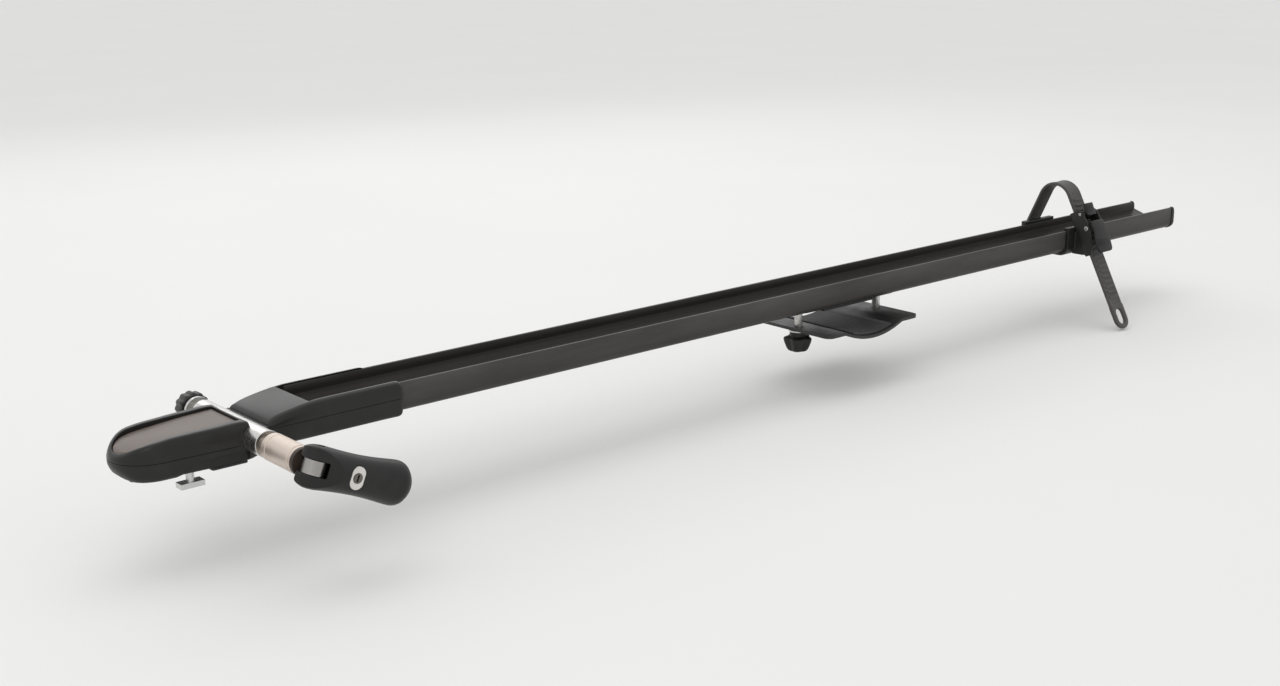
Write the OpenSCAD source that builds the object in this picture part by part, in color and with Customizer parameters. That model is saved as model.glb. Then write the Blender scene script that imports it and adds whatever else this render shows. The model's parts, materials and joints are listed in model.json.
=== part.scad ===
// Roof carrier for one bicycle: fork clamp at the front, wheel strap at the back.
// X runs from the head to the tail, Y to the side away from the lever, Z up.
// The origin is the middle of the front seat, on the plane of the crossbar tops.

/* [Tray] */
// Outside width of the wheel tray
tray_w = 55; // [46:0.5:66]
// Height of the wheel tray
tray_h = 24; // [20:0.5:29]
// Wall of the wheel tray
wall_t = 2.4; // [2:0.1:2.9]
// Distance from the front seat to the tail
tail_x = 1243; // [1190:1:1490]
// Height of the tray's underside over the crossbars
tray_z = 10; // [8.5:0.5:12]

/* [Head] */
// Reach of the nose in front of the seat
nose_reach = 48.5; // [41:0.5:58]
// End of the collar that holds the tray
collar_x = 170; // [150:1:204]
// Thickness of the seat pads
pad_t = 2; // [1.7:0.1:2.4]

/* [Fork clamp] */
// Distance of the skewer behind the seat
skewer_x = 45.8; // [44:0.2:55]
// Height of the skewer over the crossbars
skewer_z = 18.7; // [17.7:0.1:22]
// Width between the fork's drop-outs
fork_w = 100; // [84:1:120]
// Room for one drop-out
dropout_gap = 8; // [6.7:0.1:9.6]
// Diameter of the axle tube
tube_d = 20; // [17:0.5:22]
// Diameter of the skewer rod
rod_d = 6; // [5:0.1:6.4]
// Length of the thrust sleeve
sleeve_l = 40; // [33:0.5:48]
// Slope of the closed lever
lever_slope = 23.4; // [19:0.2:28]
// Length of the lever behind its pin
lever_l = 76; // [66:1:92]

/* [Rear clamp] */
// Distance from the front seat to the rear clamp
rear_x = 690; // [600:1:800]
// Spacing of the two clamp studs
stud_span = 112; // [96:1:134]
// Diameter of the clamp studs
stud_d = 8; // [6.7:0.1:8.4]
// Height of the crossbar that is clamped
bar_h = 21; // [17.5:0.5:25.5]
// Half width of the jaw
jaw_half = 48; // [40:0.5:58]
// Height of the rear seat over the front one
rear_seat_z = 5; // [4:0.5:6]
// Diameter of the clamp knobs
knob_d = 28; // [24:0.5:28]

/* [Wheel strap] */
// Distance from the front seat to the strap
strap_x = 1052; // [1010:1:1090]
// Width of the strap
strap_w = 22; // [19:0.5:26]
// Thickness of the strap
strap_t = 3; // [2.5:0.1:3.6]
// Radius of the strap's arch
arch_r = 20; // [18:0.5:24]
// Length of the strap beyond the arch
tail_l = 157; // [130:1:190]
// Lean of the buckle
buckle_lean = 28; // [25:0.5:31]

/* [Hidden] */
$fn = 64;
seam = 0.05;
tray_r = 7;
tray_x0 = 100;
cap_t = 5;
top_z = tray_z + tray_h;
lip_t = 2.4;
slot_w = 9;
tee_w = 18;
tee_h = 6.4;
floor_z = tray_z + lip_t + tee_h + 2.2;
wall_y = tray_w / 2 - wall_t;
cell_y = wall_y - 0.6;

head_y = tray_w / 2 + 3.25;
nose_r = head_y - 2.25;
nose_cx = nose_r - nose_reach;
split_z = 15;
cradle_z = skewer_z + tube_d * 0.3;
cradle_x0 = skewer_x - tube_d / 2 - 1.5;
cradle_x1 = skewer_x + tube_d / 2 + 1.5;
collar_z = tray_z + 12;
rim_z = skewer_z + tube_d / 2 + 3;
cover_x1 = skewer_x - 2;
lid_x1 = cover_x1 - 4.5;
lid_r = nose_r - 8;
lid_cx = lid_r - nose_reach + 4;
lid_y = head_y - 8.75;
lid_t = 2.5;
cave_x0 = -nose_reach + 19;
cave_x1 = 20;
bolt_y = 19;
bolt_d = 6;

face_y = fork_w / 2;
stub_d = rod_d + 2.9;
stub_l = 6;
sleeve_d = tube_d + 0.6;
sleeve_y = -face_y - dropout_gap;
cam_e = 2;
cam_r = 9.6;
cam_gap = 0.35;
washer_t = 4;
pin_y = sleeve_y - sleeve_l - washer_t - cam_gap - cam_e - cam_r;
eye_r = 8;
pin_d = 6;
lock_x = 27.5;
nut_y = face_y + dropout_gap;
nut_l = 14;
lever_k = (lever_l - 12) / 67;

stud_x0 = rear_x - stud_span / 2;
stud_x1 = rear_x + stud_span / 2;
jaw_t = 3;
flange_z = -9;
jaw_x0 = stud_x0 + knob_d / 2 + 1.5;
jaw_x1 = stud_x1 - knob_d / 2 - 1.5;
liner_t = 2;
belly_z = rear_seat_z - bar_h - liner_t;
knob_z = flange_z - jaw_t - 1.6 - seam;
knob_l = 19.4;
stud_z = knob_z - knob_l + 1.5;

arch_z = top_z + 27.5;
spread = max(0, tray_w / 2 - 27.5);
leg_y = -spread - arch_r * cos(buckle_lean);
leg_z = arch_z + arch_r * sin(buckle_lean);
far_a = 25;
anchor_s = 53;
anchor_y = spread + arch_r * cos(far_a) + sin(far_a) * anchor_s;
anchor_z = arch_z + arch_r * sin(far_a) - cos(far_a) * anchor_s;
slot_r = strap_w / 2 - 5.2;
cheek_x = strap_w / 2 + 0.8;
cheek_t = 2.5;
base_s = 20;
ratchet_s = base_s + 22;
ratchet_n = 9.2;
pawl_s = base_s + 5;
pawl_n = 8;
screw_s = base_s + 40;
base_n = strap_t / 2 + 0.5;
base_t = 2.5;
slider_t = 3.6;
slider_l = 52;

// Sub-part to draw

// Placing helpers

module along_x(x0, x1) {
    translate([x0, 0, 0]) rotate([90, 0, 90]) linear_extrude(x1 - x0) children();
}

module along_y(y0, y1) {
    translate([0, y1, 0]) rotate([90, 0, 0]) linear_extrude(y1 - y0) children();
}

module rod_y(d, y0, y1) {
    translate([0, y0, 0]) rotate([-90, 0, 0]) cylinder(d = d, h = y1 - y0);
}

module at_skewer() {
    translate([skewer_x, 0, skewer_z]) children();
}

// Lever frame: x along the grip, z along the cam pin
module at_lever() {
    translate([skewer_x, pin_y, skewer_z]) rotate([0, lever_slope, 0]) children();
}

// Strap leg frame: down the strap is -z, out of the strap is -y
module in_leg() {
    translate([strap_x, leg_y, leg_z]) rotate([-buckle_lean, 0, 0]) children();
}

// Tray

module tray_outer(d) {
    translate([-tray_w / 2 - d, tray_z + tray_r]) square([tray_w + 2 * d, tray_h - tray_r + d]);
    translate([-tray_w / 2 + tray_r, tray_z - d]) square([tray_w - 2 * tray_r, tray_h]);
    for (s = [-1, 1]) translate([s * (tray_w / 2 - tray_r), tray_z + tray_r]) circle(tray_r + d);
}

module wheel_groove() {
    polygon([[-wall_y, top_z + 2], [wall_y, top_z + 2], [wall_y, tray_z + 15.5],
        [11.5, floor_z], [-11.5, floor_z], [-wall_y, tray_z + 15.5]]);
}

module side_cell(d) {
    polygon([[12.6 + d, tray_z + 2.6 + d], [cell_y - 4 - d, tray_z + 2.6 + d],
        [cell_y - d, tray_z + 6.6 + d], [cell_y - d, tray_z + 12.4 - 2 * d],
        [12.6 + d, tray_z + 9 - 2 * d]]);
}

module tray_channel() {
    color("#26282a") along_x(tray_x0, tail_x - cap_t) difference() {
        tray_outer(0);
        wheel_groove();
        translate([-slot_w / 2, tray_z - 1]) square([slot_w, lip_t + 2]);
        translate([-tee_w / 2, tray_z + lip_t]) square([tee_w, tee_h]);
        side_cell(0);
        mirror([1, 0]) side_cell(0);
    }
}

module tail_cap() {
    color("#141415") {
        along_x(tail_x - cap_t + seam, tail_x) difference() {
            tray_outer(0.8);
            wheel_groove();
        }
        along_x(tail_x - cap_t - 12, tail_x - cap_t + 0.5) {
            side_cell(0.15);
            mirror([1, 0]) side_cell(0.15);
        }
    }
}

module tray_t_nut() {
    color("#9a9c9e") difference() {
        translate([tray_x0 + 12, -8.4, tray_z + lip_t + seam]) cube([52, 16.8, 4.6]);
        for (x = [tray_x0 + 22, tray_x0 + 54]) {
            translate([x, 0, tray_z]) cylinder(d = bolt_d + 0.06, h = 12);
        }
    }
}

module tray_bolts() {
    color("#8b8d90") for (x = [tray_x0 + 22, tray_x0 + 54]) translate([x, 0, 0]) difference() {
        union() {
            translate([0, 0, tray_z - 2.5 - seam - 3.2]) cylinder(d = 10.5, h = 3.2);
            translate([0, 0, tray_z - 3]) cylinder(d = bolt_d, h = 10.6);
        }
        translate([0, 0, tray_z - 7]) cylinder(d = 4.6, h = 3.2, $fn = 6);
    }
}

// Head

module head_plan(d) {
    translate([nose_cx, 0]) circle(nose_r - d);
    polygon([[nose_cx, -nose_r + d], [30, -head_y + d], [collar_x, -head_y + d],
        [collar_x, head_y - d], [30, head_y - d], [nose_cx, nose_r - d]]);
}

module lid_plan(d) {
    translate([lid_cx, 0]) circle(lid_r - d);
    polygon([[lid_cx, -lid_r + d], [lid_x1 - d, -lid_y + d], [lid_x1 - d, lid_y - d],
        [lid_cx, lid_r - d]]);
}

// Line of the lid's top face, lowered by d
function lid_line(d) = [[-nose_reach - 1, rim_z - 12.5 - d], [-nose_reach + 4, rim_z - 12.2 - d],
    [-nose_reach + 11, rim_z - 9.6 - d], [-nose_reach + 21, rim_z - 7.6 - d], [-10, rim_z - 5.2 - d],
    [10, rim_z - 3.4 - d], [skewer_x, rim_z - 1.8 - d]];

module head_base() {
    color("#18191a") difference() {
        intersection() {
            linear_extrude(80) head_plan(0);
            along_y(-60, 60) polygon([[-nose_reach - 1, split_z], [-nose_reach - 1, 12],
                [-nose_reach + 3.5, 6], [-nose_reach + 10, 2.4], [-nose_reach + 17, 1], [-11, 1],
                [-9, pad_t], [cradle_x1 - 14, pad_t], [cradle_x1 + 3, tray_z - 2.5],
                [collar_x + 1, tray_z - 2.5], [collar_x + 1, collar_z], [cradle_x1, collar_z],
                [cradle_x1, cradle_z], [cradle_x0, cradle_z], [cradle_x0, split_z]]);
        }
        along_x(tray_x0 - 0.2, collar_x + 5) tray_outer(0.15);
        at_skewer() rod_y(tube_d + 0.06, -60, 60);
        intersection() {
            translate([cave_x0, -60, 8]) cube([cave_x1 - cave_x0, 120, 40]);
            linear_extrude(80) head_plan(4);
        }
        translate([cradle_x1 + 15, -head_y + 4, tray_z + 1.5]) {
            cube([tray_x0 - cradle_x1 - 18.2, 2 * head_y - 8, 40]);
        }
        for (s = [-1, 1]) {
            translate([-9, s * head_y - 3, -1]) cube([cradle_x1 - 7, 6, 12]);
            translate([0, s * bolt_y, -1]) cylinder(d = bolt_d + 0.4, h = 12);
            translate([skewer_x, s * 15, -1]) cylinder(d = 5.06, h = skewer_z);
        }
        for (p = head_screw_at) translate([p[0], p[1], -1]) {
            cylinder(d = 4.06, h = 40);
            cylinder(d = 7.8, h = p[2] + 4.3);
        }
        for (x = [tray_x0 + 22, tray_x0 + 54]) {
            translate([x, 0, -1]) cylinder(d = bolt_d + 0.4, h = 20);
        }
    }
}

// Position, underside and tip of each screw of the head
head_screw_at = [[-nose_reach + 12, -11, 1.2, rim_z - 15], [-nose_reach + 12, 11, 1.2, rim_z - 15],
    [25, -20, pad_t, rim_z - 8], [25, 20, pad_t, rim_z - 8],
    [cradle_x1 + 8, -21, tray_z - 2.5, collar_z + 6], [cradle_x1 + 8, 21, tray_z - 2.5, collar_z + 6]];

module nose_cover() {
    color("#202123") difference() {
        intersection() {
            linear_extrude(80) head_plan(0);
            along_y(-60, 60) polygon([[-nose_reach - 1, split_z + seam], [-nose_reach, rim_z - 12.6],
                [-nose_reach + 4.5, rim_z - 9.6], [-nose_reach + 10.5, rim_z - 6.5],
                [-nose_reach + 18.5, rim_z - 3.6], [-20, rim_z - 1.8], [0, rim_z - 0.9],
                [cover_x1 - 6, rim_z], [cover_x1, rim_z - 0.8], [cover_x1, cradle_z + seam],
                [cradle_x0 - 0.1, cradle_z + seam], [cradle_x0 - 0.1, split_z + seam]]);
            along_x(-80, 80) polygon([[-head_y, 0], [head_y, 0], [head_y, rim_z - 9],
                [head_y - 1.2, rim_z - 3], [head_y - 4, rim_z + 0.1], [-head_y + 4, rim_z + 0.1],
                [-head_y + 1.2, rim_z - 3], [-head_y, rim_z - 9]]);
        }
        intersection() {
            linear_extrude(80) lid_plan(-0.1);
            along_y(-60, 60) polygon(concat(lid_line(lid_t + seam),
                [[skewer_x, 60], [-nose_reach - 1, 60]]));
        }
        intersection() {
            translate([cave_x0, -60, 0]) cube([cave_x1 - cave_x0, 120, 60]);
            linear_extrude(80) head_plan(3.5);
            along_y(-60, 60) polygon(concat(lid_line(lid_t + 2.2), [[skewer_x, 0], [-60, 0]]));
        }
        intersection() {
            translate([cave_x0, -60, 0]) cube([cave_x1 - cave_x0, 120, 60]);
            linear_extrude(80) lid_plan(2.5);
        }
        at_skewer() rod_y(tube_d + 0.6, -60, 60);
        for (p = head_screw_at) translate([p[0], p[1], 0]) cylinder(d = 4.06, h = p[3] + 0.3);
    }
}

module access_lid() {
    color("#5f5b57") intersection() {
        linear_extrude(80) lid_plan(0);
        along_y(-60, 60) polygon(concat(lid_line(0), [for (i = [6 : -1 : 0]) lid_line(lid_t)[i]]));
    }
}

module tray_collar() {
    color("#202123") difference() {
        intersection() {
            linear_extrude(80) head_plan(0);
            along_y(-60, 60) polygon([[cradle_x1, collar_z + seam], [cradle_x1, collar_z + 5],
                [cradle_x1 + 7, top_z - 4], [tray_x0 - 18, top_z - 0.6], [tray_x0, top_z + 1.4],
                [collar_x - 3, top_z + 1.4], [collar_x, top_z - 1], [collar_x, collar_z + seam]]);
        }
        along_x(tray_x0 - 0.2, collar_x + 5) tray_outer(0.15);
        translate([tray_x0 - 4, -wall_y, floor_z]) cube([200, 2 * wall_y, 40]);
        translate([cradle_x1 + 15, -head_y + 4, 0]) {
            cube([tray_x0 - cradle_x1 - 22, 2 * head_y - 8, top_z - 5]);
        }
        for (p = head_screw_at) translate([p[0], p[1], 0]) cylinder(d = 4.06, h = p[3] + 0.3);
    }
}

module head_screws() {
    color("#8b8d90") for (p = head_screw_at) translate([p[0], p[1], p[2]]) difference() {
        union() {
            translate([0, 0, 0.2]) cylinder(d = 7.4, h = 3.05);
            cylinder(d = 4, h = p[3] - p[2]);
        }
        translate([0, 0, -0.1]) cylinder(d = 3.4, h = 2.2, $fn = 6);
    }
}

module front_seat_pad() {
    color("#101011") linear_extrude(pad_t - seam) {
        translate([-8, -9.5]) square([cradle_x1 - 7.5, 19]);
        translate([14, -head_y + 4.5]) square([cradle_x1 - 29.5, 2 * head_y - 9]);
    }
}

module front_t_bolts() {
    color("#8b8d90") for (s = [-1, 1]) translate([0, s * bolt_y, 0]) {
        translate([-9, -4.5, -9.5]) cube([18, 9, 4]);
        translate([0, 0, -6]) cylinder(d = bolt_d, h = 23.5);
    }
}

module front_washers() {
    color("#a5a7a9") for (s = [-1, 1]) translate([0, s * bolt_y, 8 + seam]) difference() {
        cylinder(d = 12, h = 1.5);
        translate([0, 0, -1]) cylinder(d = bolt_d + 0.4, h = 4);
    }
}

module front_nuts() {
    color("#8b8d90") for (s = [-1, 1]) translate([0, s * bolt_y, 9.5 + 2 * seam]) difference() {
        cylinder(d = 11.4, h = 5.2, $fn = 6);
        translate([0, 0, -1]) cylinder(d = bolt_d + 0.06, h = 8);
    }
}

module axle_tube() {
    color("#b9bbbc") at_skewer() difference() {
        union() {
            rod_y(tube_d, -face_y, face_y);
            rod_y(stub_d, -face_y - stub_l, face_y + stub_l);
        }
        rod_y(rod_d + 0.1, -face_y - 10, face_y + 10);
    }
}

module tube_set_screws() {
    color("#77797c") for (s = [-1, 1]) translate([skewer_x, s * 15, pad_t + 0.3]) difference() {
        cylinder(d = 5, h = skewer_z - tube_d / 2 - pad_t - 0.3 - seam);
        translate([0, 0, -0.1]) cylinder(d = 2.9, h = 2.4, $fn = 6);
    }
}

// Fork clamp

module skewer_rod() {
    color("#b3b5b7") difference() {
        union() {
            at_skewer() rod_y(rod_d, pin_y + 3, nut_y + nut_l + 12);
            at_lever() translate([0, 0, -5]) cylinder(r = eye_r, h = 10);
        }
        at_lever() translate([0, 0, -6]) cylinder(d = pin_d + 0.06, h = 12);
    }
}

module thrust_sleeve() {
    color("#b7a596") at_skewer() difference() {
        union() {
            rod_y(sleeve_d, sleeve_y - sleeve_l, sleeve_y);
        }
        rod_y(rod_d + 0.1, sleeve_y - 60, sleeve_y + 1);
        rod_y(rod_d + 4.8, sleeve_y - 22, sleeve_y + 1);
        for (y = [5, sleeve_l - 4]) translate([0, sleeve_y - y, 0]) rotate([90, 0, 0]) {
            difference() {
                cylinder(d = sleeve_d + 4, h = 1.2);
                translate([0, 0, -1]) cylinder(d = sleeve_d - 1.2, h = 4);
            }
        }
    }
}

module thrust_washer() {
    color("#3a2f29") at_skewer() difference() {
        rod_y(sleeve_d, sleeve_y - sleeve_l - washer_t, sleeve_y - sleeve_l - seam);
        rod_y(rod_d + 0.1, sleeve_y - 80, sleeve_y + 1);
    }
}

// Coil of the return spring between the axle stub and the sleeve's shoulder
module sleeve_spring() {
    turns = 6;
    step = 8;
    wire = 0.55;
    y0 = sleeve_y - 21.4;
    y1 = -face_y - stub_l - 0.7;
    r = rod_d / 2 + 1.3;
    count = turns * step;
    pts = [for (i = [0 : count]) for (k = [0 : 5])
        let (a = 360 * i / step, b = 60 * k, q = r + wire * cos(b))
        [q * cos(a), y0 + (y1 - y0) * i / count + wire * sin(b), q * sin(a)]];
    sides = [for (i = [0 : count - 1]) for (k = [0 : 5]) for (h = [0, 1])
        h == 0 ? [6 * i + k, 6 * i + 6 + k, 6 * i + 6 + (k + 1) % 6]
        : [6 * i + k, 6 * i + 6 + (k + 1) % 6, 6 * i + (k + 1) % 6]];
    first = [for (k = [1 : 4]) [0, k, k + 1]];
    last = [for (k = [1 : 4]) [6 * count, 6 * count + k + 1, 6 * count + k]];
    gaps = [for (i = [0 : count - step]) for (k = [0 : 5]) for (m = [0 : 5])
        norm(pts[6 * i + k] - pts[6 * (i + step) + m])];
    echo(least_gap = min(gaps));
    color("#8d9093") at_skewer() polyhedron(pts, concat(sides, first, last), convexity = 6);
}

module lever_form() {
    rotate([0, 90, 0]) rotate_extrude() polygon([[0, -12.5], [14.2, -12.5], [15.2, -10.5],
        [15.6, -6], [15.5, 0], [15, 8], [14.4, 16 * lever_k], [13.9, 26 * lever_k],
        [13.7, 34 * lever_k], [13.8, 42 * lever_k], [14.3, 50 * lever_k], [15.2, lever_l - 21],
        [15.9, lever_l - 16], [16.2, lever_l - 12], [16.1, lever_l - 9], [15.4, lever_l - 6.5],
        [14.2, lever_l - 5], [0, lever_l - 5]]);
}

module stadium(d) {
    translate([-5.5 - d, -2.7]) square([11 + 2 * d, 5.4]);
    for (s = [-1, 1]) translate([0, s * 2.7]) circle(5.5 + d);
}

module cam_lever() {
    color("#151516") at_lever() difference() {
        intersection() {
            lever_form();
            translate([0, 0, -30]) linear_extrude(60) {
                translate([0, cam_e]) circle(cam_r);
                translate([-4, -20]) square([8.5, 20 + cam_e]);
                translate([4, -20]) square([100, 20 + cam_e + cam_r - 0.4]);
                translate([sleeve_d / 2 + 2.7, -20]) square([100, 60]);
            }
        }
        translate([-20, -30, -5.3]) cube([29, 60, 10.6]);
        translate([0, 0, -40]) cylinder(d = pin_d + 0.04, h = 80);
        translate([lock_x, -10.9, 0]) rotate([90, 0, 0]) linear_extrude(20) stadium(0.08);
        translate([lock_x, 4.3, 0]) rotate([90, 0, 0]) cylinder(d = 7.1, h = 20);
        translate([lever_l - 25, 0, 0]) rotate([0, 90, 0]) cylinder(d = 16.1, h = 40);
        translate([lock_x + 10, 0, 0]) rotate([0, 90, 0]) cylinder(d = 10, h = 40);
    }
}

module lever_end_cap() {
    color("#1b1b1c") at_lever() rotate([0, 90, 0]) rotate_extrude() {
        polygon([[0, lever_l - 14], [8, lever_l - 14], [8, lever_l - 5 + seam],
            [13.4, lever_l - 5 + seam], [12.6, lever_l - 3.4], [10.6, lever_l - 1.6],
            [7, lever_l - 0.4], [0, lever_l]]);
    }
}

module cam_pin() {
    color("#c3c5c7") at_lever() translate([0, 0, -13]) cylinder(d = pin_d, h = 26);
}

module lock_bezel() {
    color("#b9bbbd") at_lever() translate([lock_x, -10.9 - seam, 0]) rotate([90, 0, 0]) difference() {
        linear_extrude(2.7) stadium(0);
        translate([0, 0, -1]) cylinder(d = 7.1, h = 8);
    }
}

module lock_plug() {
    color("#6d6f72") at_lever() translate([lock_x, 4, 0]) rotate([90, 0, 0]) difference() {
        cylinder(d = 7, h = 17.8);
        translate([-0.65, -2.5, 14.6]) cube([1.3, 5, 5]);
    }
}

module far_washer() {
    color("#a5a7a9") at_skewer() difference() {
        rod_y(sleeve_d, nut_y, nut_y + 3);
        rod_y(rod_d + 0.1, 0, nut_y + 40);
        rod_y(stub_d + 0.8, 0, nut_y + 0.6);
    }
}

module far_nut() {
    color("#4c4e50") at_skewer() difference() {
        union() {
            rod_y(18, nut_y + 3 + seam, nut_y + 6);
            translate([0, nut_y + 5, 0]) rotate([-90, 0, 0]) linear_extrude(nut_l - 2) {
                circle(11.2);
                for (i = [0 : 11]) rotate(30 * i) translate([10.4, 0]) circle(1.9);
            }
        }
        rod_y(rod_d + 0.06, 0, nut_y + 60);
    }
}

// Rear clamp

module rear_saddle() {
    color("#1a1b1c") difference() {
        union() {
            translate([stud_x0 - 9, -16, rear_seat_z + pad_t + 0.5]) {
                cube([stud_span + 18, 32, tray_z - 0.6 - pad_t - rear_seat_z]);
            }
            translate([stud_x0 - 7, -slot_w / 2 + 0.1, tray_z - 1]) {
                cube([stud_span + 14, slot_w - 0.2, lip_t + 0.9]);
            }
        }
        for (x = [stud_x0, stud_x1]) translate([x, 0, -1]) cylinder(d = stud_d + 0.06, h = 30);
        for (s = [-1, 1]) translate([rear_x - stud_span / 2 - 12, s * 16, -1]) {
            rotate([0, 0, 45]) cube([9, 9, 40], center = true);
            translate([stud_span + 24, 0, 0]) rotate([0, 0, 45]) cube([9, 9, 40], center = true);
        }
    }
}

module rear_seat_pad() {
    color("#101011") translate([jaw_x0 + jaw_t + 1, -15, rear_seat_z]) {
        cube([jaw_x1 - jaw_x0 - 2 * jaw_t - 2, 30, pad_t + 0.5 - seam]);
    }
}

module stud() {
    translate([-8, -8.5, tray_z + lip_t + seam]) cube([16, 17, 4.8]);
    translate([0, 0, stud_z]) cylinder(d = stud_d, h = tray_z + lip_t + 1 - stud_z);
}

module rear_stud_front() {
    color("#7d7f82") translate([stud_x0, 0, 0]) stud();
}

module rear_stud_back() {
    color("#7d7f82") translate([stud_x1, 0, 0]) stud();
}

// Height of the jaw's upper face, bowed round the underside of the bar
function bow(x) = let (u = (x - rear_x) / (jaw_x1 - rear_x))
    flange_z - (flange_z - belly_z) * (1 - u * u);

module jaw_profile() {
    top = concat([[stud_x0 - 8, flange_z]],
        [for (i = [0 : 24]) let (x = jaw_x0 + (jaw_x1 - jaw_x0) * i / 24) [x, bow(x)]],
        [[stud_x1 + 10, flange_z]]);
    low = [for (i = [len(top) - 1 : -1 : 0]) [top[i][0], top[i][1] - jaw_t]];
    polygon(concat(top, low));
}

module rear_jaw() {
    color("#1d1e1f") difference() {
        intersection() {
            along_y(-jaw_half, jaw_half) jaw_profile();
            translate([0, 0, -80]) linear_extrude(100) {
                translate([stud_x0 - 8, -jaw_half + 8]) square([stud_span + 18, 2 * jaw_half - 16]);
                translate([stud_x0, -jaw_half]) square([stud_span + 2, 2 * jaw_half]);
                for (s = [-1, 1]) {
                    translate([stud_x0, s * (jaw_half - 8)]) circle(8);
                    translate([stud_x1 + 2, s * (jaw_half - 8)]) circle(8);
                }
            }
        }
        for (x = [stud_x0, stud_x1]) translate([x, 0, -60]) cylinder(d = stud_d + 0.6, h = 80);
    }
}

module jaw_liner() {
    xs = [for (i = [0 : 20]) rear_x - 28 + 56 * i / 20];
    color("#101011") along_y(-jaw_half + 3, jaw_half - 3) polygon(concat(
        [for (x = xs) [x, bow(x) + liner_t]],
        [for (i = [20 : -1 : 0]) [xs[i], bow(xs[i]) + seam]]));
}

module jaw_washers() {
    color("#a5a7a9") for (x = [stud_x0, stud_x1]) difference() {
        translate([x, 0, flange_z - jaw_t - 1.6]) cylinder(d = 18, h = 1.6 - seam);
        translate([x, 0, -60]) cylinder(d = stud_d + 0.6, h = 80);
    }
}

module knob() {
    difference() {
        union() {
            translate([0, 0, knob_z - 2.8]) cylinder(d = 16, h = 2.8);
            translate([0, 0, knob_z - knob_l]) linear_extrude(knob_l - 2.6) {
                circle(knob_d / 2 - 3);
                for (i = [0 : 4]) rotate(72 * i) translate([knob_d / 2 - 4.5, 0]) circle(4.5);
            }
        }
        translate([0, 0, knob_z - 15]) cylinder(d = 12.04, h = 20);
        translate([0, 0, knob_z - 60]) cylinder(d = stud_d + 0.8, h = 80);
    }
}

module knob_insert() {
    translate([0, 0, knob_z - 15 + seam]) difference() {
        cylinder(d = 12, h = 15 - seam);
        translate([0, 0, -1]) cylinder(d = stud_d + 0.06, h = 20);
    }
}

module knob_front() {
    color("#171718") translate([stud_x0, 0, 0]) knob();
}

module knob_front_insert() {
    color("#b08d4a") translate([stud_x0, 0, 0]) knob_insert();
}

module knob_back() {
    color("#171718") translate([stud_x1, 0, 0]) knob();
}

module knob_back_insert() {
    color("#b08d4a") translate([stud_x1, 0, 0]) knob_insert();
}

// Wheel strap

// Point at s down the strap leg and n out of it
function leg(s, n) = [leg_y - sin(buckle_lean) * s - cos(buckle_lean) * n,
    leg_z - cos(buckle_lean) * s + sin(buckle_lean) * n];

module strap_slider() {
    x0 = strap_x - slider_l / 2;
    color("#191a1b") difference() {
        union() {
            along_x(x0, x0 + slider_l) difference() {
                tray_outer(slider_t);
                tray_outer(0.2);
                translate([-tray_w / 2 + 2.8, top_z - 2]) square([tray_w - 5.6, 20]);
            }
            along_x(strap_x - 13, strap_x + 13) polygon([[-tray_w / 2 - 1, top_z],
                leg(base_s + 26, 0), leg(base_s + 50, 0), [leg(base_s + 50, 0)[0] + 9, tray_z - 2],
                [-tray_w / 2 - 1, tray_z - 2]]);
            for (s = [-1, 1]) translate([strap_x + s * (strap_w / 2 + 2.4), 0, 0]) {
                along_x(-1.7, 1.7) {
                    translate([anchor_y, anchor_z]) circle(7);
                    translate([tray_w / 2 + 1, anchor_z - 7]) {
                        square([anchor_y - tray_w / 2 - 1, 14]);
                    }
                }
            }
        }
        translate([strap_x - 60, anchor_y, anchor_z]) rotate([0, 90, 0]) cylinder(d = 5.06, h = 120);
        in_leg() translate([0, 30, -screw_s]) rotate([90, 0, 0]) cylinder(d = 4.46, h = 60);
        in_leg() translate([-cheek_x - cheek_t - 0.4, -40, -base_s - 60]) {
            cube([2 * cheek_x + 2 * cheek_t + 0.8, 40 + base_n + base_t + seam, 60]);
        }
        along_x(strap_x - 60, strap_x + 60) tray_outer(0.2);
    }
}

// Points of the strap's side view at h out of its middle line
function strap_line(h) = concat(
    [[anchor_y, anchor_z] + 4 * [-sin(far_a), cos(far_a)] + h * [cos(far_a), sin(far_a)]],
    [for (i = [0 : 28]) let (a = far_a + (180 - buckle_lean - far_a) * i / 28)
        [a < 90 ? spread : -spread, arch_z] + (arch_r + h) * [cos(a), sin(a)]],
    [leg(tail_l, h)]);

module wheel_strap() {
    outer = strap_line(strap_t / 2);
    inner = strap_line(-strap_t / 2);
    color("#1e1e20") difference() {
        union() {
            along_x(strap_x - strap_w / 2, strap_x + strap_w / 2) {
                polygon(concat(outer, [for (i = [len(inner) - 1 : -1 : 0]) inner[i]]));
                translate([anchor_y, anchor_z]) circle(5.6);
            }
            in_leg() for (s = [7 : 6 : tail_l - 30]) {
                translate([-strap_w / 2 + 4, -strap_t / 2 - 1.2, -s - 1.4]) {
                    cube([strap_w - 8, 1.7, 2.8]);
                }
            }
        }
        in_leg() translate([0, 20, -tail_l + strap_w / 2]) rotate([90, 0, 0]) linear_extrude(40) {
            translate([-slot_r, -0.2]) square([2 * slot_r, 5.9]);
            for (v = [-0.2, 5.7]) translate([0, v]) circle(slot_r);
            difference() {
                translate([-strap_w, -strap_w]) square([2 * strap_w, strap_w]);
                circle(strap_w / 2);
            }
        }
        translate([strap_x - 60, anchor_y, anchor_z]) rotate([0, 90, 0]) cylinder(d = 5.2, h = 120);
    }
}

module strap_anchor_pin() {
    color("#8b8d90") translate([strap_x - strap_w / 2 - 4.9, anchor_y, anchor_z]) rotate([0, 90, 0]) {
        cylinder(d = 5, h = strap_w + 9.8);
    }
}

module pin_x(s, n, d, half) {
    translate([-half, -n, -s]) rotate([0, 90, 0]) cylinder(d = d, h = 2 * half);
}

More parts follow.
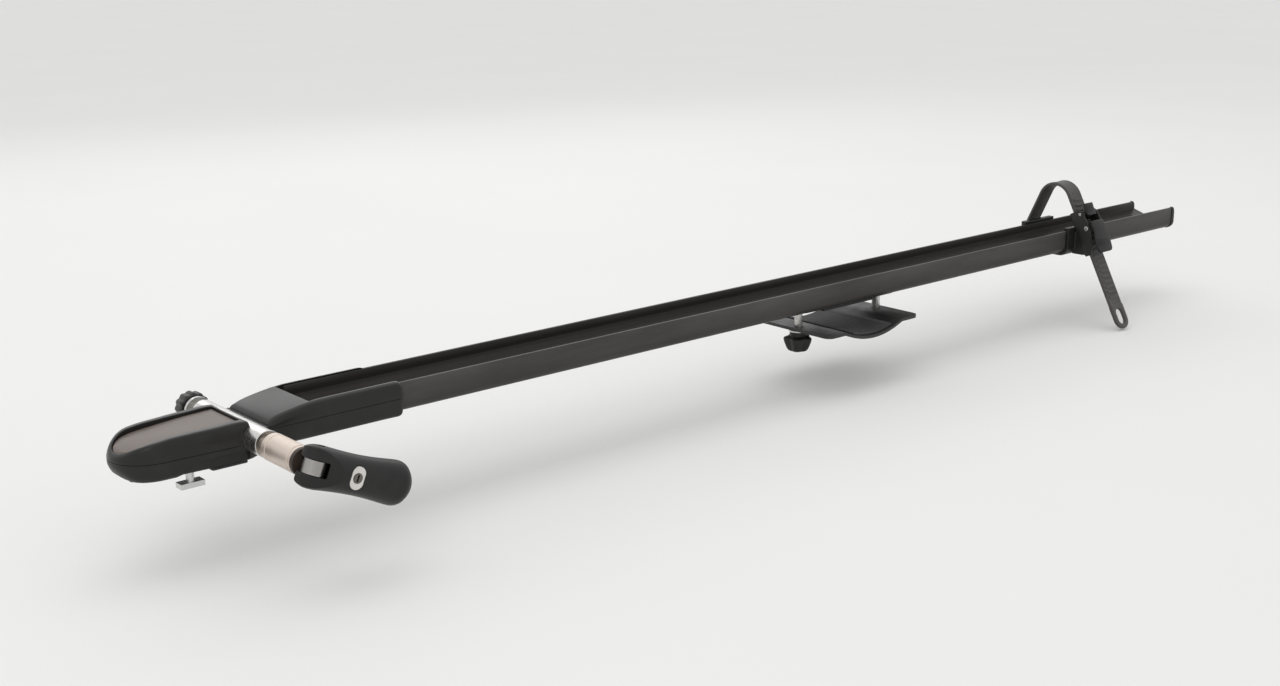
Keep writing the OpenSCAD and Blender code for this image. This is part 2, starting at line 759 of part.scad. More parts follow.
module buckle_base() {
    color("#161617") in_leg() difference() {
        union() {
            translate([-cheek_x - cheek_t, base_n, -base_s - 50]) {
                cube([2 * cheek_x + 2 * cheek_t, base_t, 50]);
            }
            for (s = [-1, 1]) translate([s * (cheek_x + cheek_t / 2), 0, 0]) {
                along_x(-cheek_t / 2, cheek_t / 2) translate([0, -base_s]) {
                    polygon([[base_n + base_t, -50], [-3, -50], [-8, -42], [-12, -30],
                        [-12.8, -22], [-12.2, -14], [-11.6, -6], [-9.5, -1.5], [-6, 0],
                        [base_n + base_t, 0]]);
                }
            }
        }
        pin_x(ratchet_s, ratchet_n, 5.04, 30);
        pin_x(pawl_s, pawl_n, 3.24, 30);
        translate([0, 30, -screw_s]) rotate([90, 0, 0]) cylinder(d = 4.46, h = 60);
        translate([0, base_n + 1.6, -screw_s]) rotate([90, 0, 0]) cylinder(d = 8.6, h = 10);
    }
}

module buckle_screw() {
    color("#8b8d90") in_leg() translate([0, base_n + 0.1, -screw_s]) rotate([-90, 0, 0]) difference() {
        union() {
            cylinder(d = 8.4, h = 1.45);
            cylinder(d = 4.4, h = 10.5);
        }
        translate([0, 0, -1]) cylinder(d = 3, h = 2.2, $fn = 6);
    }
}

module ratchet_lever() {
    color("#1b1b1d") in_leg() difference() {
        union() {
            pin_x(ratchet_s, ratchet_n, 11, cheek_x - 0.4);
            translate([0, 0, -base_s]) {
                translate([-cheek_x + 0.4, -13.8, -27]) cube([2 * cheek_x - 0.8, 4.6, 9]);
                translate([-cheek_x + 0.4, -16.6, -34]) cube([2 * cheek_x - 0.8, 3.1, 18]);
                translate([-cheek_x - 2.4, -16.6, -52]) cube([2 * cheek_x + 4.8, 3.1, 19]);
                translate([-cheek_x - 2.4, -18.6, -52]) cube([2 * cheek_x + 4.8, 2.1, 4]);
            }
        }
        pin_x(ratchet_s, ratchet_n, 5.08, 40);
    }
}

module ratchet_pin() {
    color("#d0d2d4") in_leg() pin_x(ratchet_s, ratchet_n, 5, cheek_x + cheek_t + 1.2);
}

module release_pawl() {
    color("#232426") in_leg() difference() {
        union() {
            pin_x(pawl_s, pawl_n, 6.6, cheek_x - 0.4);
            translate([-8, -13.4, -base_s - 9]) cube([16, 2.6, 14]);
            translate([-8, -11, -base_s - 7]) cube([16, 3.2, 4]);
            along_x(-7, 7) polygon([[-pawl_n + 3, -pawl_s + 1], [-pawl_n - 1, -pawl_s - 2.6],
                [-4.6, -pawl_s - 6], [-3.4, -pawl_s - 6]]);
        }
        pin_x(pawl_s, pawl_n, 3.28, 40);
    }
}

module pawl_pin() {
    color("#b3b5b7") in_leg() pin_x(pawl_s, pawl_n, 3.2, cheek_x + cheek_t + 0.6);
}

tray_channel();
tail_cap();
tray_t_nut();
tray_bolts();
head_base();
nose_cover();
access_lid();
tray_collar();
head_screws();
front_seat_pad();
front_t_bolts();
front_washers();
front_nuts();
axle_tube();
tube_set_screws();
skewer_rod();
thrust_sleeve();
thrust_washer();
sleeve_spring();
cam_lever();
lever_end_cap();
cam_pin();
lock_bezel();
lock_plug();
far_washer();
far_nut();
rear_saddle();
rear_seat_pad();
rear_stud_front();
rear_stud_back();
rear_jaw();
jaw_liner();
jaw_washers();
knob_front();
knob_front_insert();
knob_back();
knob_back_insert();
strap_slider();
wheel_strap();
strap_anchor_pin();
buckle_base();
buckle_screw();
ratchet_lever();
ratchet_pin();
release_pawl();
pawl_pin();
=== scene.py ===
"""Looks of a roof mounted bicycle carrier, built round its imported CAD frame.

Sizes inside the builders are millimetres in the part's frame: X from head to tail,
Y away from the lever, Z up. Meshes are scaled to metres when they are made.
"""

import json
import math
from contextlib import contextmanager

import bmesh
import bpy
import numpy as np
from mathutils import Matrix, Vector


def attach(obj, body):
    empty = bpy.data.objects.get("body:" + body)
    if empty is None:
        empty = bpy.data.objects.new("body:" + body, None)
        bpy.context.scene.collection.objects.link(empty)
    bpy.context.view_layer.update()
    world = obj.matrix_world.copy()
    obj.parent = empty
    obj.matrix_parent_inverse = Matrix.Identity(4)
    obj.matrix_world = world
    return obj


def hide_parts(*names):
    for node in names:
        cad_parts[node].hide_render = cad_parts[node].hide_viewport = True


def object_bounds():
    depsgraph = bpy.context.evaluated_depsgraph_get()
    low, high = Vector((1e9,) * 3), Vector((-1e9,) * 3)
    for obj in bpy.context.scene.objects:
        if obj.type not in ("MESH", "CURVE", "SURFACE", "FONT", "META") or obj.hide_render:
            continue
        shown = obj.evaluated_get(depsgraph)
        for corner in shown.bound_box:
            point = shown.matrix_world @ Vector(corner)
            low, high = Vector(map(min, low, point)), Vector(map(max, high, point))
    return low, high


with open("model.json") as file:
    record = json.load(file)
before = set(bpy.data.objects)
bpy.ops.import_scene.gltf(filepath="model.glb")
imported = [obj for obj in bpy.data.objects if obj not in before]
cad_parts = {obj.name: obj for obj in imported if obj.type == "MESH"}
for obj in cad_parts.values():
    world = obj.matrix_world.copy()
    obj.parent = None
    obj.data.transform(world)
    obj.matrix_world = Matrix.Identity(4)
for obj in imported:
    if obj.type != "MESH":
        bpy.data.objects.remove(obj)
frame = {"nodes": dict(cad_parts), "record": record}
cad_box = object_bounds()

MM = 0.001
BODY_OF = {n: b for b, names in frame["record"]["behaviour"]["bodies"].items() for n in names}
SLOT_OF = {s["node"]: s["material_slot"] for s in frame["record"]["subparts"]}

# Head: two halves that part at SPLIT_Z, a cradle for the tube, a collar for the tray and a lid
NOSE_REACH, NOSE_R = 48.5, 28.5
NOSE_X = NOSE_R - NOSE_REACH
FLARE_L, HEAD_Y, HEAD_X1 = 50.0, 30.75, 170.0
SPLIT_Z, SEAM = 15.0, 0.05
COVER_X1, COVER_Z0 = 43.8, SPLIT_Z + SEAM
CRADLE_X0, CRADLE_Z = 34.2, 24.7
COLLAR_X0, COLLAR_Z = 57.3, 22.0
LID_R, LID_Y, LID_X1, LID_T, LID_GAP = 20.5, 22.0, 39.3, 2.5, 0.35
LID_NOSE_X = LID_R - NOSE_REACH + 4.0

# Tray: its front end, half width, bottom, rim and corner radius, and the room round it in the head
TRAY_X0, TRAY_Y, TRAY_Z0, TRAY_Z1, TRAY_R = 99.8, 27.5, 10.0, 34.0, 7.0
TRAY_FIT = 0.15

# Fork clamp: the skewer's line, the tube, the cam pin, the lever's slope and the cam
SKEWER_X, SKEWER_Z, TUBE_R = 45.8, 18.7, 10.0
PIN_Y, LEVER_SLOPE, LOCK_X = -113.95, math.radians(23.4), 27.5
CAM_E, CAM_R = 2.0, 9.6

# Rear clamp: its studs, the bowed jaw between them and the knobs
STUD_X = (634.0, 746.0)
CLAMP_X = sum(STUD_X) / 2
JAW_Z, BOW_Z, BOW_END = -9.0, -18.0, 15.5
KNOB_TOP, KNOB_L, KNOB_R = -13.65, 19.4, 14.0

# Wheel strap: an arch between a far leg to the anchor pin and a near leg with a loose tail
STRAP_X, STRAP_W, STRAP_T = 1052.0, 22.0, 3.0
ARCH_R, ARCH_Z = 20.0, 61.5
LEAN, FAR_LEAN = math.radians(28), math.radians(25)
TAIL_L, ANCHOR_S = 157.0, 53.0
FAR_Y = ARCH_R * math.cos(FAR_LEAN)
FAR_Z = ARCH_Z + ARCH_R * math.sin(FAR_LEAN)
ARCH_LEN = ARCH_R * (math.pi - LEAN - FAR_LEAN)

# Mesh making: how near two points count as one, and how edges are rounded
SAME_POINT, CAD_POINT, CARVED_POINT = 0.001, 0.002, 0.004
FLAT_ANGLE, EDGE_ANGLE, EDGE_SEGMENTS = 1.0, 34.0, 2
EASE_FACTOR, THIN_RATIO = 0.5, 0.3


# Materials

def enabled(sockets, name):
    """The socket of that name that is in use, where a node has several."""
    return next(s for s in sockets if s.name == name and s.enabled)


class Nodes:
    """One material's node tree, with short calls for the nodes used here."""

    def __init__(self, name):
        self.material = bpy.data.materials.new(name)
        self.material.use_nodes = True
        self.tree = self.material.node_tree
        self.shader = self.tree.nodes["Principled BSDF"]
        self.place = self.tree.nodes.new("ShaderNodeTexCoord").outputs["Object"]

    def link(self, a, b):
        self.tree.links.new(a, b)

    def feed(self, key, value):
        """Leads a varying value into the shader."""
        self.link(value, self.shader.inputs[key])

    def set(self, key, value):
        """Gives the shader a value that is the same all over."""
        self.shader.inputs[key].default_value = value

    def noise(self, scale, detail=4.0, stretch=(1, 1, 1), rough=0.55):
        mapping = self.tree.nodes.new("ShaderNodeMapping")
        mapping.inputs["Scale"].default_value = stretch
        self.link(self.place, mapping.inputs["Vector"])
        node = self.tree.nodes.new("ShaderNodeTexNoise")
        node.inputs["Scale"].default_value = scale
        node.inputs["Detail"].default_value = detail
        node.inputs["Roughness"].default_value = rough
        self.link(mapping.outputs["Vector"], node.inputs["Vector"])
        return node.outputs["Fac"]

    def remap(self, value, low, high, to_low, to_high):
        node = self.tree.nodes.new("ShaderNodeMapRange")
        limits = {"From Min": low, "From Max": high, "To Min": to_low, "To Max": to_high}
        for key, limit in limits.items():
            node.inputs[key].default_value = limit
        self.link(value, node.inputs["Value"])
        return node.outputs["Result"]

    def mix(self, factor, a, b):
        """Mix of two colours, each a tuple or a socket."""
        node = self.tree.nodes.new("ShaderNodeMix")
        node.data_type = "RGBA"
        self.link(factor, enabled(node.inputs, "Factor"))
        for key, v in (("A", a), ("B", b)):
            if isinstance(v, tuple):
                enabled(node.inputs, key).default_value = (*v, 1)
            else:
                self.link(v, enabled(node.inputs, key))
        return enabled(node.outputs, "Result")

    def combine(self, operation, a, b):
        """Sum or product of two values."""
        node = self.tree.nodes.new("ShaderNodeMath")
        node.operation = operation
        self.link(a, node.inputs[0])
        self.link(b, node.inputs[1])
        return node.outputs[0]

    def edges(self, low, high):
        """Rises from 0 to 1 where the surface is convex, as on a worn edge; on the tray it also carries a
        painted highlight along the rim.
        """
        geometry = self.tree.nodes.new("ShaderNodeNewGeometry")
        return self.remap(geometry.outputs["Pointiness"], low, high, 0, 1)

    def bump(self, height, depth, strength):
        """Normal of a relief that is depth millimetres deep."""
        node = self.tree.nodes.new("ShaderNodeBump")
        node.inputs["Strength"].default_value = strength
        node.inputs["Distance"].default_value = depth * MM
        self.link(height, node.inputs["Height"])
        return node.outputs["Normal"]


DUST = (0.42, 0.40, 0.37)
# Light grey for the tray's edges: partly rubbed metal, partly a painted highlight along the tray's top rim
RUBBED_METAL_AND_RIM_HIGHLIGHT = (0.20, 0.20, 0.19)
CHIPPED_METAL = (0.16, 0.155, 0.15)


def scaled(colour, k):
    """Colour made k times as bright."""
    return tuple(min(1.0, c * k) for c in colour)


def lifted(colour, k, add):
    """Colour made k times as bright, with some grey added."""
    return tuple(c * k + add for c in colour)


def plastic(name, colour, rough, grain_mm=0.6, grain_depth=0.03, wear=0.2, dust=0.03, coat=0.0, gleam=0.34):
    """Moulded plastic: fine spark-eroded grain, cloudy gloss, scuffed edges and a little dust."""
    n = Nodes(name)
    cloud = n.noise(14, 4)
    base = n.mix(n.remap(cloud, 0.35, 0.7, 0, 1), scaled(colour, 0.92), scaled(colour, 1.1))
    worn = n.combine("MULTIPLY", n.edges(0.55, 0.72), n.remap(n.noise(90, 3), 0.42, 0.68, 0, wear))
    base = n.mix(worn, base, lifted(colour, 0.7, 0.12))
    film = n.remap(n.noise(30, 5, rough=0.6), 0.5, 0.85, 0, dust)
    base = n.mix(film, base, DUST)
    n.feed("Base Color", base)
    gloss = n.remap(n.noise(24, 3), 0.3, 0.7, rough - 0.03, rough + 0.05)
    n.feed("Roughness", n.combine("ADD", gloss, film))
    grain = n.noise(1 / (grain_mm * MM), 2)
    n.feed("Normal", n.bump(grain, grain_depth, 0.5))
    n.set("Coat Weight", coat)
    n.set("Coat Roughness", 0.12)
    n.set("IOR", 1.46)
    n.set("Specular IOR Level", gleam)
    return n.material


def rubber(name, colour, rough=0.68):
    """Moulded rubber: matt, bloomed in patches, with a soft sheen."""
    n = Nodes(name)
    bloom = n.remap(n.noise(36, 6, rough=0.65), 0.42, 0.75, 0, 1)
    base = n.mix(bloom, scaled(colour, 0.85), lifted(colour, 1.25, 0.012))
    worn = n.combine("MULTIPLY", n.edges(0.52, 0.62), n.remap(n.noise(160, 3), 0.4, 0.6, 0, 0.5))
    base = n.mix(worn, base, lifted(colour, 1, 0.06))
    n.feed("Base Color", base)
    n.feed("Roughness", n.remap(bloom, 0, 1, rough - 0.07, rough + 0.1))
    n.feed("Normal", n.bump(n.noise(1500, 2), 0.05, 0.7))
    n.set("Sheen Weight", 0.12)
    n.set("Sheen Roughness", 0.5)
    return n.material


def anodised(name, colour, rough):
    """Black anodised extrusion: die lines along X, an even satin sheen, and edges painted lighter, partly as
    rubbed metal and partly as a painted highlight along the top rim.
    """
    n = Nodes(name)
    lines = n.noise(950, 3, stretch=(0.004, 1, 1))
    cloud = n.noise(5, 3, stretch=(0.25, 1, 1))
    base = n.mix(n.remap(cloud, 0.3, 0.72, 0, 1), scaled(colour, 0.97), scaled(colour, 1.04))
    base = n.mix(n.remap(lines, 0.45, 0.72, 0, 0.3), base, lifted(colour, 1.25, 0.008))
    # Edges painted lighter, partly as rubbed metal and partly as a painted highlight along the tray's top rim
    rub_and_highlight_strength = n.remap(n.noise(40, 3, stretch=(0.2, 1, 1)), 0.35, 0.65, 0.4, 0.8)
    rubbed_and_rim_highlight = n.combine("MULTIPLY", n.edges(0.53, 0.62), rub_and_highlight_strength)
    base = n.mix(rubbed_and_rim_highlight, base, RUBBED_METAL_AND_RIM_HIGHLIGHT)
    n.feed("Base Color", base)
    n.feed("Roughness", n.remap(lines, 0.3, 0.7, rough - 0.04, rough + 0.07))
    n.set("Specular IOR Level", 0.11)
    n.feed("Normal", n.bump(lines, 0.03, 0.4))
    return n.material


def metal(name, colour, stained, rough, stretch=(1, 1, 1), line_scale=420):
    """Bare or plated metal with the lines of its making, stained a little in patches."""
    n = Nodes(name)
    lines = n.noise(line_scale, 3, stretch)
    stain = n.remap(n.noise(55, 5), 0.45, 0.75, 0, 0.55)
    n.feed("Base Color", n.mix(stain, colour, stained))
    n.feed("Roughness", n.remap(lines, 0.3, 0.7, rough - 0.06, rough + 0.09))
    n.set("Metallic", 1.0)
    n.feed("Normal", n.bump(lines, 0.03, 0.5))
    return n.material


def coated_metal(name, colour, rough):
    """Powder coated steel: orange-peel skin with chips at the edges."""
    n = Nodes(name)
    cloud = n.noise(18, 3)
    base = n.mix(n.remap(cloud, 0.35, 0.7, 0, 1), scaled(colour, 0.94), scaled(colour, 1.08))
    chips = n.combine("MULTIPLY", n.edges(0.66, 0.82), n.remap(n.noise(260, 3), 0.5, 0.66, 0, 0.4))
    n.feed("Base Color", n.mix(chips, base, CHIPPED_METAL))
    n.feed("Roughness", n.remap(n.noise(70, 3), 0.3, 0.7, rough - 0.05, rough + 0.08))
    n.feed("Normal", n.bump(n.noise(620, 2), 0.06, 0.6))
    return n.material


FINISH = {
    "tray": anodised("tray_anodised", (0.0272, 0.0250, 0.0222), 0.34),
    "moulding": plastic("moulded_black", (0.0150, 0.0146, 0.0140), 0.42),
    "gloss_cover": plastic("gloss_black", (0.0100, 0.0097, 0.0090), 0.29, grain_mm=0.9, grain_depth=0.008,
                           wear=0.15, dust=0.02, coat=0.08),
    "lid": plastic("lid_grey_brown", (0.140, 0.112, 0.096), 0.42, grain_mm=0.7, grain_depth=0.02,
                   wear=0.35, dust=0.04, coat=0.1, gleam=0.42),
    "grip": plastic("grip_black", (0.0120, 0.0118, 0.0115), 0.38, grain_mm=0.8, grain_depth=0.04),
    "rubber": rubber("rubber_black", (0.016, 0.016, 0.017)),
    "steel": metal("zinc_plate", (0.62, 0.62, 0.61), (0.50, 0.47, 0.42), 0.30),
    "sleeve_metal": metal("sleeve_satin", (0.72, 0.63, 0.56), (0.64, 0.55, 0.48), 0.46,
                          stretch=(1, 14, 1), line_scale=60),
    "dark_washer": plastic("washer_brown", (0.045, 0.032, 0.026), 0.42),
    "bezel": metal("bezel_satin", (0.70, 0.68, 0.65), (0.60, 0.57, 0.53), 0.34,
                   stretch=(1, 1, 6), line_scale=90),
    "black_metal": coated_metal("black_coat", (0.0145, 0.0142, 0.0138), 0.42),
    "brass": metal("turned_brass", (0.72, 0.52, 0.24), (0.52, 0.36, 0.17), 0.28,
                   stretch=(1, 1, 10), line_scale=80),
}

# Nodes with a finish of their own
SPECIAL = {
    "lock_plug": metal("plug_dark", (0.16, 0.145, 0.13), (0.10, 0.09, 0.08), 0.36,
                       stretch=(1, 1, 6), line_scale=90),
    "wheel_strap": rubber("strap_rubber", (0.042, 0.038, 0.037), 0.58),
    "axle_tube": metal("tube_bright", (0.70, 0.69, 0.67), (0.58, 0.55, 0.50), 0.22,
                       stretch=(1, 12, 1), line_scale=70),
    # Steel of the rod and its eye, its tone darkened as painted shade for the eye that sits in shadow between
    # the lever's cheeks
    "skewer_rod": metal("rod_steel_shade_darkened", (0.36, 0.35, 0.335), (0.27, 0.255, 0.235), 0.36,
                        stretch=(1, 12, 1), line_scale=70),
    "head_screws": FINISH["black_metal"],
}


# Outlines

def circle(count):
    """Angles of a full turn."""
    return [2 * math.pi * i / count for i in range(count)]


def quarter(steps):
    """Angles of a quarter turn, both ends included."""
    return [math.radians(90 * i / steps) for i in range(steps + 1)]


def curve_through(table):
    """Smooth function of x through a table of (x, z) points."""
    xs, zs = (np.array(v, float) for v in zip(*table))
    slopes = np.gradient(zs, xs)

    def value(x):
        x = min(max(x, xs[0]), xs[-1])
        i = min(int(np.searchsorted(xs, x, "right")) - 1, len(xs) - 2)
        h = xs[i + 1] - xs[i]
        t = (x - xs[i]) / h
        return float((2 * t**3 - 3 * t**2 + 1) * zs[i] + (t**3 - 2 * t**2 + t) * h * slopes[i]
                     + (3 * t**2 - 2 * t**3) * zs[i + 1] + (t**3 - t**2) * h * slopes[i + 1])

    return value


def disc(u, v, r, count=48):
    """Round outline, anticlockwise."""
    return [(u + r * math.cos(a), v + r * math.sin(a)) for a in circle(count)]


def oblong(u0, u1, v0, v1, r, steps=5):
    """Rectangle with round corners, anticlockwise."""
    corners = ((u1 - r, v1 - r), (u0 + r, v1 - r), (u0 + r, v0 + r), (u1 - r, v0 + r))
    line = []
    for q, (u, v) in enumerate(corners):
        angles = [math.radians(90 * (q + i / steps)) for i in range(steps + 1)]
        line += [(u + r * math.cos(a), v + r * math.sin(a)) for a in angles]
    return line


def filleted(corners, steps=6):
    """Closed outline with round corners, each given as (u, v, radius)."""
    most = 0.48
    line = []
    for i, (u, v, r) in enumerate(corners):
        here = Vector((u, v))
        back = Vector(corners[i - 1][:2]) - here
        ahead = Vector(corners[(i + 1) % len(corners)][:2]) - here
        reach = min(r / math.tan(back.angle(ahead) / 2), most * back.length, most * ahead.length)
        a, b = here + back.normalized() * reach, here + ahead.normalized() * reach
        for k in range(steps + 1):
            t = k / steps
            line.append(tuple(a * (1 - t) ** 2 + here * 2 * t * (1 - t) + b * t * t))
    return line


def inset(outline, d):
    """Outline moved in by d, for outlines that run anticlockwise."""
    moved = []
    before, after = outline[-1:] + outline[:-1], outline[1:] + outline[:1]
    for (ax, ay), (bx, by), (cx, cy) in zip(before, outline, after):
        one = Vector((ay - by, bx - ax)).normalized()
        two = Vector((by - cy, cx - bx)).normalized()
        step = (one + two) / max(0.35, 1 + one.dot(two))
        moved.append((bx + step.x * d, by + step.y * d))
    return moved


# Skins, each a list of points and a list of faces

def skin(rings, closed=False, caps=True):
    """Skin through rings that have the same number of points."""
    count, size = len(rings), len(rings[0])
    points = [p for ring in rings for p in ring]
    faces = []
    for i in range(count if closed else count - 1):
        a, b = i * size, (i + 1) % count * size
        faces += [(a + k, a + (k + 1) % size, b + (k + 1) % size, b + k) for k in range(size)]
    if caps and not closed:
        faces.append(tuple(range(size))[::-1])
        faces.append(tuple(range((count - 1) * size, count * size)))
    return points, faces


def joined(*parts):
    """One skin of several closed skins."""
    points, faces = [], []
    for p, f in parts:
        start = len(points)
        points += p
        faces += [tuple(i + start for i in face) for face in f]
    return points, faces


def slab(outline, low, high, edge, place=lambda *point: point):
    """Closed plate of an outline with rounded edges; place puts (u, v, height) in the part's frame."""
    bevel = 0.29 * edge
    steps = [(low, edge), (low + bevel, bevel), (low + edge, 0.0),
             (high - edge, 0.0), (high - bevel, bevel), (high, edge)]
    return skin([[place(u, v, h) for u, v in inset(outline, d)] for h, d in steps])


def prism(outline, axis, low, high):
    """Closed prism of an outline: (y, z) along x, (x, z) along y or (x, y) along z."""
    order = {"x": (2, 0, 1), "y": (0, 2, 1), "z": (0, 1, 2)}[axis]
    return skin([[tuple((u, v, h)[k] for k in order) for u, v in outline] for h in (low, high)])


def block(x0, x1, y0, y1, z0, z1):
    """Closed box."""
    return prism([(x0, y0), (x1, y0), (x1, y1), (x0, y1)], "z", z0, z1)


# Meshes and pieces

@contextmanager
def edited(mesh):
    """The mesh opened for editing, and written back after it."""
    bm = bmesh.new()
    bm.from_mesh(mesh)
    yield bm
    bm.to_mesh(mesh)
    bm.free()


def mesh_of(part):
    """Mesh in metres of a skin in millimetres."""
    mesh = bpy.data.meshes.new("part")
    mesh.from_pydata([Vector(p) * MM for p in part[0]], [], part[1])
    with edited(mesh) as bm:
        bmesh.ops.remove_doubles(bm, verts=bm.verts, dist=SAME_POINT * MM)
        bmesh.ops.recalc_face_normals(bm, faces=bm.faces)
    return mesh


def cad_mesh(node):
    """Copy of a CAD node's mesh with its flat faces whole."""
    mesh = frame["nodes"][node].data.copy()
    with edited(mesh) as bm:
        bmesh.ops.remove_doubles(bm, verts=bm.verts, dist=CAD_POINT * MM)
        bmesh.ops.dissolve_limit(bm, angle_limit=math.radians(FLAT_ANGLE), verts=bm.verts, edges=bm.edges)
    return mesh


def scene_object(name, data):
    """New object in the scene, for a mesh, camera or lamp."""
    thing = bpy.data.objects.new(name, data)
    bpy.context.scene.collection.objects.link(thing)
    return thing


def applied(thing):
    """Mesh of an object with its modifiers applied."""
    bpy.context.view_layer.update()
    shown = thing.evaluated_get(bpy.context.evaluated_depsgraph_get())
    return bpy.data.meshes.new_from_object(shown)


def discard(*things):
    """Removes objects with their meshes."""
    for thing in things:
        data = thing.data
        bpy.data.objects.remove(thing)
        bpy.data.meshes.remove(data)


def carved(mesh, cutters):
    """Mesh with closed skins cut from it, one after the other."""
    base = scene_object("carving", mesh)
    tools = [scene_object("cutter", mesh_of(c)) for c in cutters]
    for tool in tools:
        cut = base.modifiers.new("cut", "BOOLEAN")
        cut.object = tool
        cut.operation = "DIFFERENCE"
        cut.solver = "EXACT"
    done = applied(base)
    discard(base, *tools)
    with edited(done) as bm:
        bmesh.ops.remove_doubles(bm, verts=bm.verts, dist=CARVED_POINT * MM)
        bmesh.ops.dissolve_degenerate(bm, edges=bm.edges, dist=CARVED_POINT * MM)
    return done


def moulded(mesh, voxel, passes):
    """Mesh with all its edges and corners run smooth, as out of a mould."""
    thing = scene_object("moulding", mesh)
    grid = thing.modifiers.new("grid", "REMESH")
    grid.mode = "VOXEL"
    grid.voxel_size = voxel * MM
    ease = thing.modifiers.new("ease", "SMOOTH")
    ease.factor = EASE_FACTOR
    ease.iterations = passes
    thin = thing.modifiers.new("thin", "DECIMATE")
    thin.ratio = THIN_RATIO
    done = applied(thing)
    discard(thing)
    return done


def stand_in(name, node, mesh, smooth=40.0):
    """Visible piece in place of a CAD node, on the node's body and in its material slot."""
    mesh.materials.clear()
    mesh.materials.append(SPECIAL.get(node) or FINISH[SLOT_OF[node]])
    mesh.shade_smooth()
    mesh.set_sharp_from_angle(angle=math.radians(smooth))
    piece = scene_object(name, mesh)
    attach(piece, BODY_OF[node])
    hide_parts(node)
    return piece


def softened(node, width, mesh=None):
    """Piece in place of a CAD node, with the node's edges broken by a small round."""
    piece = stand_in(node + "_form", node, mesh or cad_mesh(node))
    bevel = piece.modifiers.new("edge_round", "BEVEL")
    bevel.width = width * MM
    bevel.segments = EDGE_SEGMENTS
    bevel.limit_method = "ANGLE"
    bevel.angle_limit = math.radians(EDGE_ANGLE)
    bevel.harden_normals = True
    bevel.use_clamp_overlap = True
    weld = piece.modifiers.new("weld", "WELD")
    weld.merge_threshold = CAD_POINT * MM


# Head

def head_half_width(x):
    """Half the head's width, which eases out behind the nose."""
    t = min(max((x - NOSE_X) / FLARE_L, 0.0), 1.0)
    return NOSE_R + (HEAD_Y - NOSE_R) * (3 * t * t - 2 * t**3)


def lid_half_width(x):
    """Half the width of the lid's recess."""
    t = min(max((x - LID_NOSE_X) / (LID_X1 - LID_NOSE_X), 0.0), 1.0)
    return LID_R + (LID_Y - LID_R) * t


# Side views of the cover's rim and of the lid
rim_line = curve_through([(-49.5, 17.0), (-48.5, 18.0), (-46.5, 19.5), (-44, 21.1), (-38, 24.9), (-30, 28.1),
                          (-20, 29.8), (0, 30.9), (20, 31.4), (37.8, 31.7), (43.8, 31.1)])
lid_line = curve_through([(-49.5, 20.0), (-44.5, 20.6), (-41, 22.2), (-37.5, 23.5), (-27.5, 25.6),
                          (-10, 27.4), (10, 28.8), (45.8, 30.1)])


def plan_loop(nose_x, nose_r, side, rear_x, corner, counts=(34, 40, 22)):
    """Closed plan outline: near side, round nose, far side and rear edge."""
    sides, arc, rear = counts
    xs = [rear_x - corner + (nose_x - rear_x + corner) * i / sides for i in range(sides)]
    loop = [(x, -side(x)) for x in xs]
    turns = [math.pi * i / arc for i in range(arc + 1)]
    loop += [(nose_x - nose_r * math.sin(a), -nose_r * math.cos(a)) for a in turns]
    loop += [(x, side(x)) for x in reversed(xs)]
    corner_x, corner_y = rear_x - corner, side(rear_x) - corner
    bend = quarter(4)[:-1]
    loop += [(corner_x + corner * math.cos(a), corner_y + corner * math.sin(a)) for a in reversed(bend)]
    loop += [(rear_x, corner_y * (1 - 2 * i / rear)) for i in range(1, rear)]
    loop += [(corner_x + corner * math.cos(a), -corner_y - corner * math.sin(a)) for a in bend]
    return loop


def nose_cover():
    """Glossy snout with a tight crest and a recess for the lid."""
    outer = plan_loop(NOSE_X, NOSE_R, head_half_width, COVER_X1, 1.2)
    inner = plan_loop(LID_NOSE_X, LID_R, lid_half_width, LID_X1, 1.2)
    # distance in from the edge, and height over the foot or drop below the rim
    foot = [(0.8, 0.0), (0.3, 0.12), (0.08, 0.35), (0.0, 0.8)]
    shoulder = [(0.0, 9.0), (0.35, 6.8), (0.85, 4.6), (1.25, 3.1), (1.6, 2.1), (2.05, 1.25), (2.65, 0.65),
                (3.4, 0.28), (4.2, 0.08), (5.0, 0.0)]
    lip = [(0.75, 0.0), (0.32, 0.1), (0.08, 0.34), (0.0, 0.75)]
    shoulder_w, shoulder_h = shoulder[-1][0], shoulder[0][1]
    lip_room, foot_room, tube_room, below, past = 1.1, 1.2, 0.3, 5, 60
    rings = []
    for (ox, oy), (ix, iy) in zip(outer, inner):
        gap = math.hypot(ix - ox, iy - oy)
        ex, ey = (ix - ox) / gap, (iy - oy) / gap
        fit = min(1.0, (gap - lip_room) / shoulder_w)
        rise = min(1.0, (rim_line(ox) - COVER_Z0 - foot_room) / shoulder_h)
        ring = [(ox + d * ex, oy + d * ey, COVER_Z0 + h) for d, h in foot]
        for d, drop in shoulder:
            x, y = ox + ex * d * fit, oy + ey * d * fit
            ring.append((x, y, rim_line(x) - drop * rise))
        for back, drop in lip:
            x, y = ix - ex * back, iy - ey * back
            ring.append((x, y, rim_line(x) - drop))
        ring.append((ix, iy, lid_line(ix) - LID_T - SEAM))
        ring.append((ix, iy, COVER_Z0))
        rings.append(ring)
    cutters = [block(CRADLE_X0, past, -past, past, below, CRADLE_Z + SEAM),
               prism(disc(SKEWER_X, SKEWER_Z, TUBE_R + tube_room, 96), "y", -past, past)]
    stand_in("nose_shell", "nose_cover", carved(mesh_of(skin(rings, closed=True)), cutters), 50)


def tray_outline(d):
    """Outside of the tray's section, grown by d."""
    y, low, high, r = TRAY_Y + d, TRAY_Z0 - d, TRAY_Z1 + d, TRAY_R + d
    bend = quarter(10)
    near = [(-y + r - r * math.cos(a), low + r - r * math.sin(a)) for a in bend]
    far = [(y - r + r * math.sin(a), low + r - r * math.cos(a)) for a in bend]
    return [(y, high), (-y, high), *near, *far]


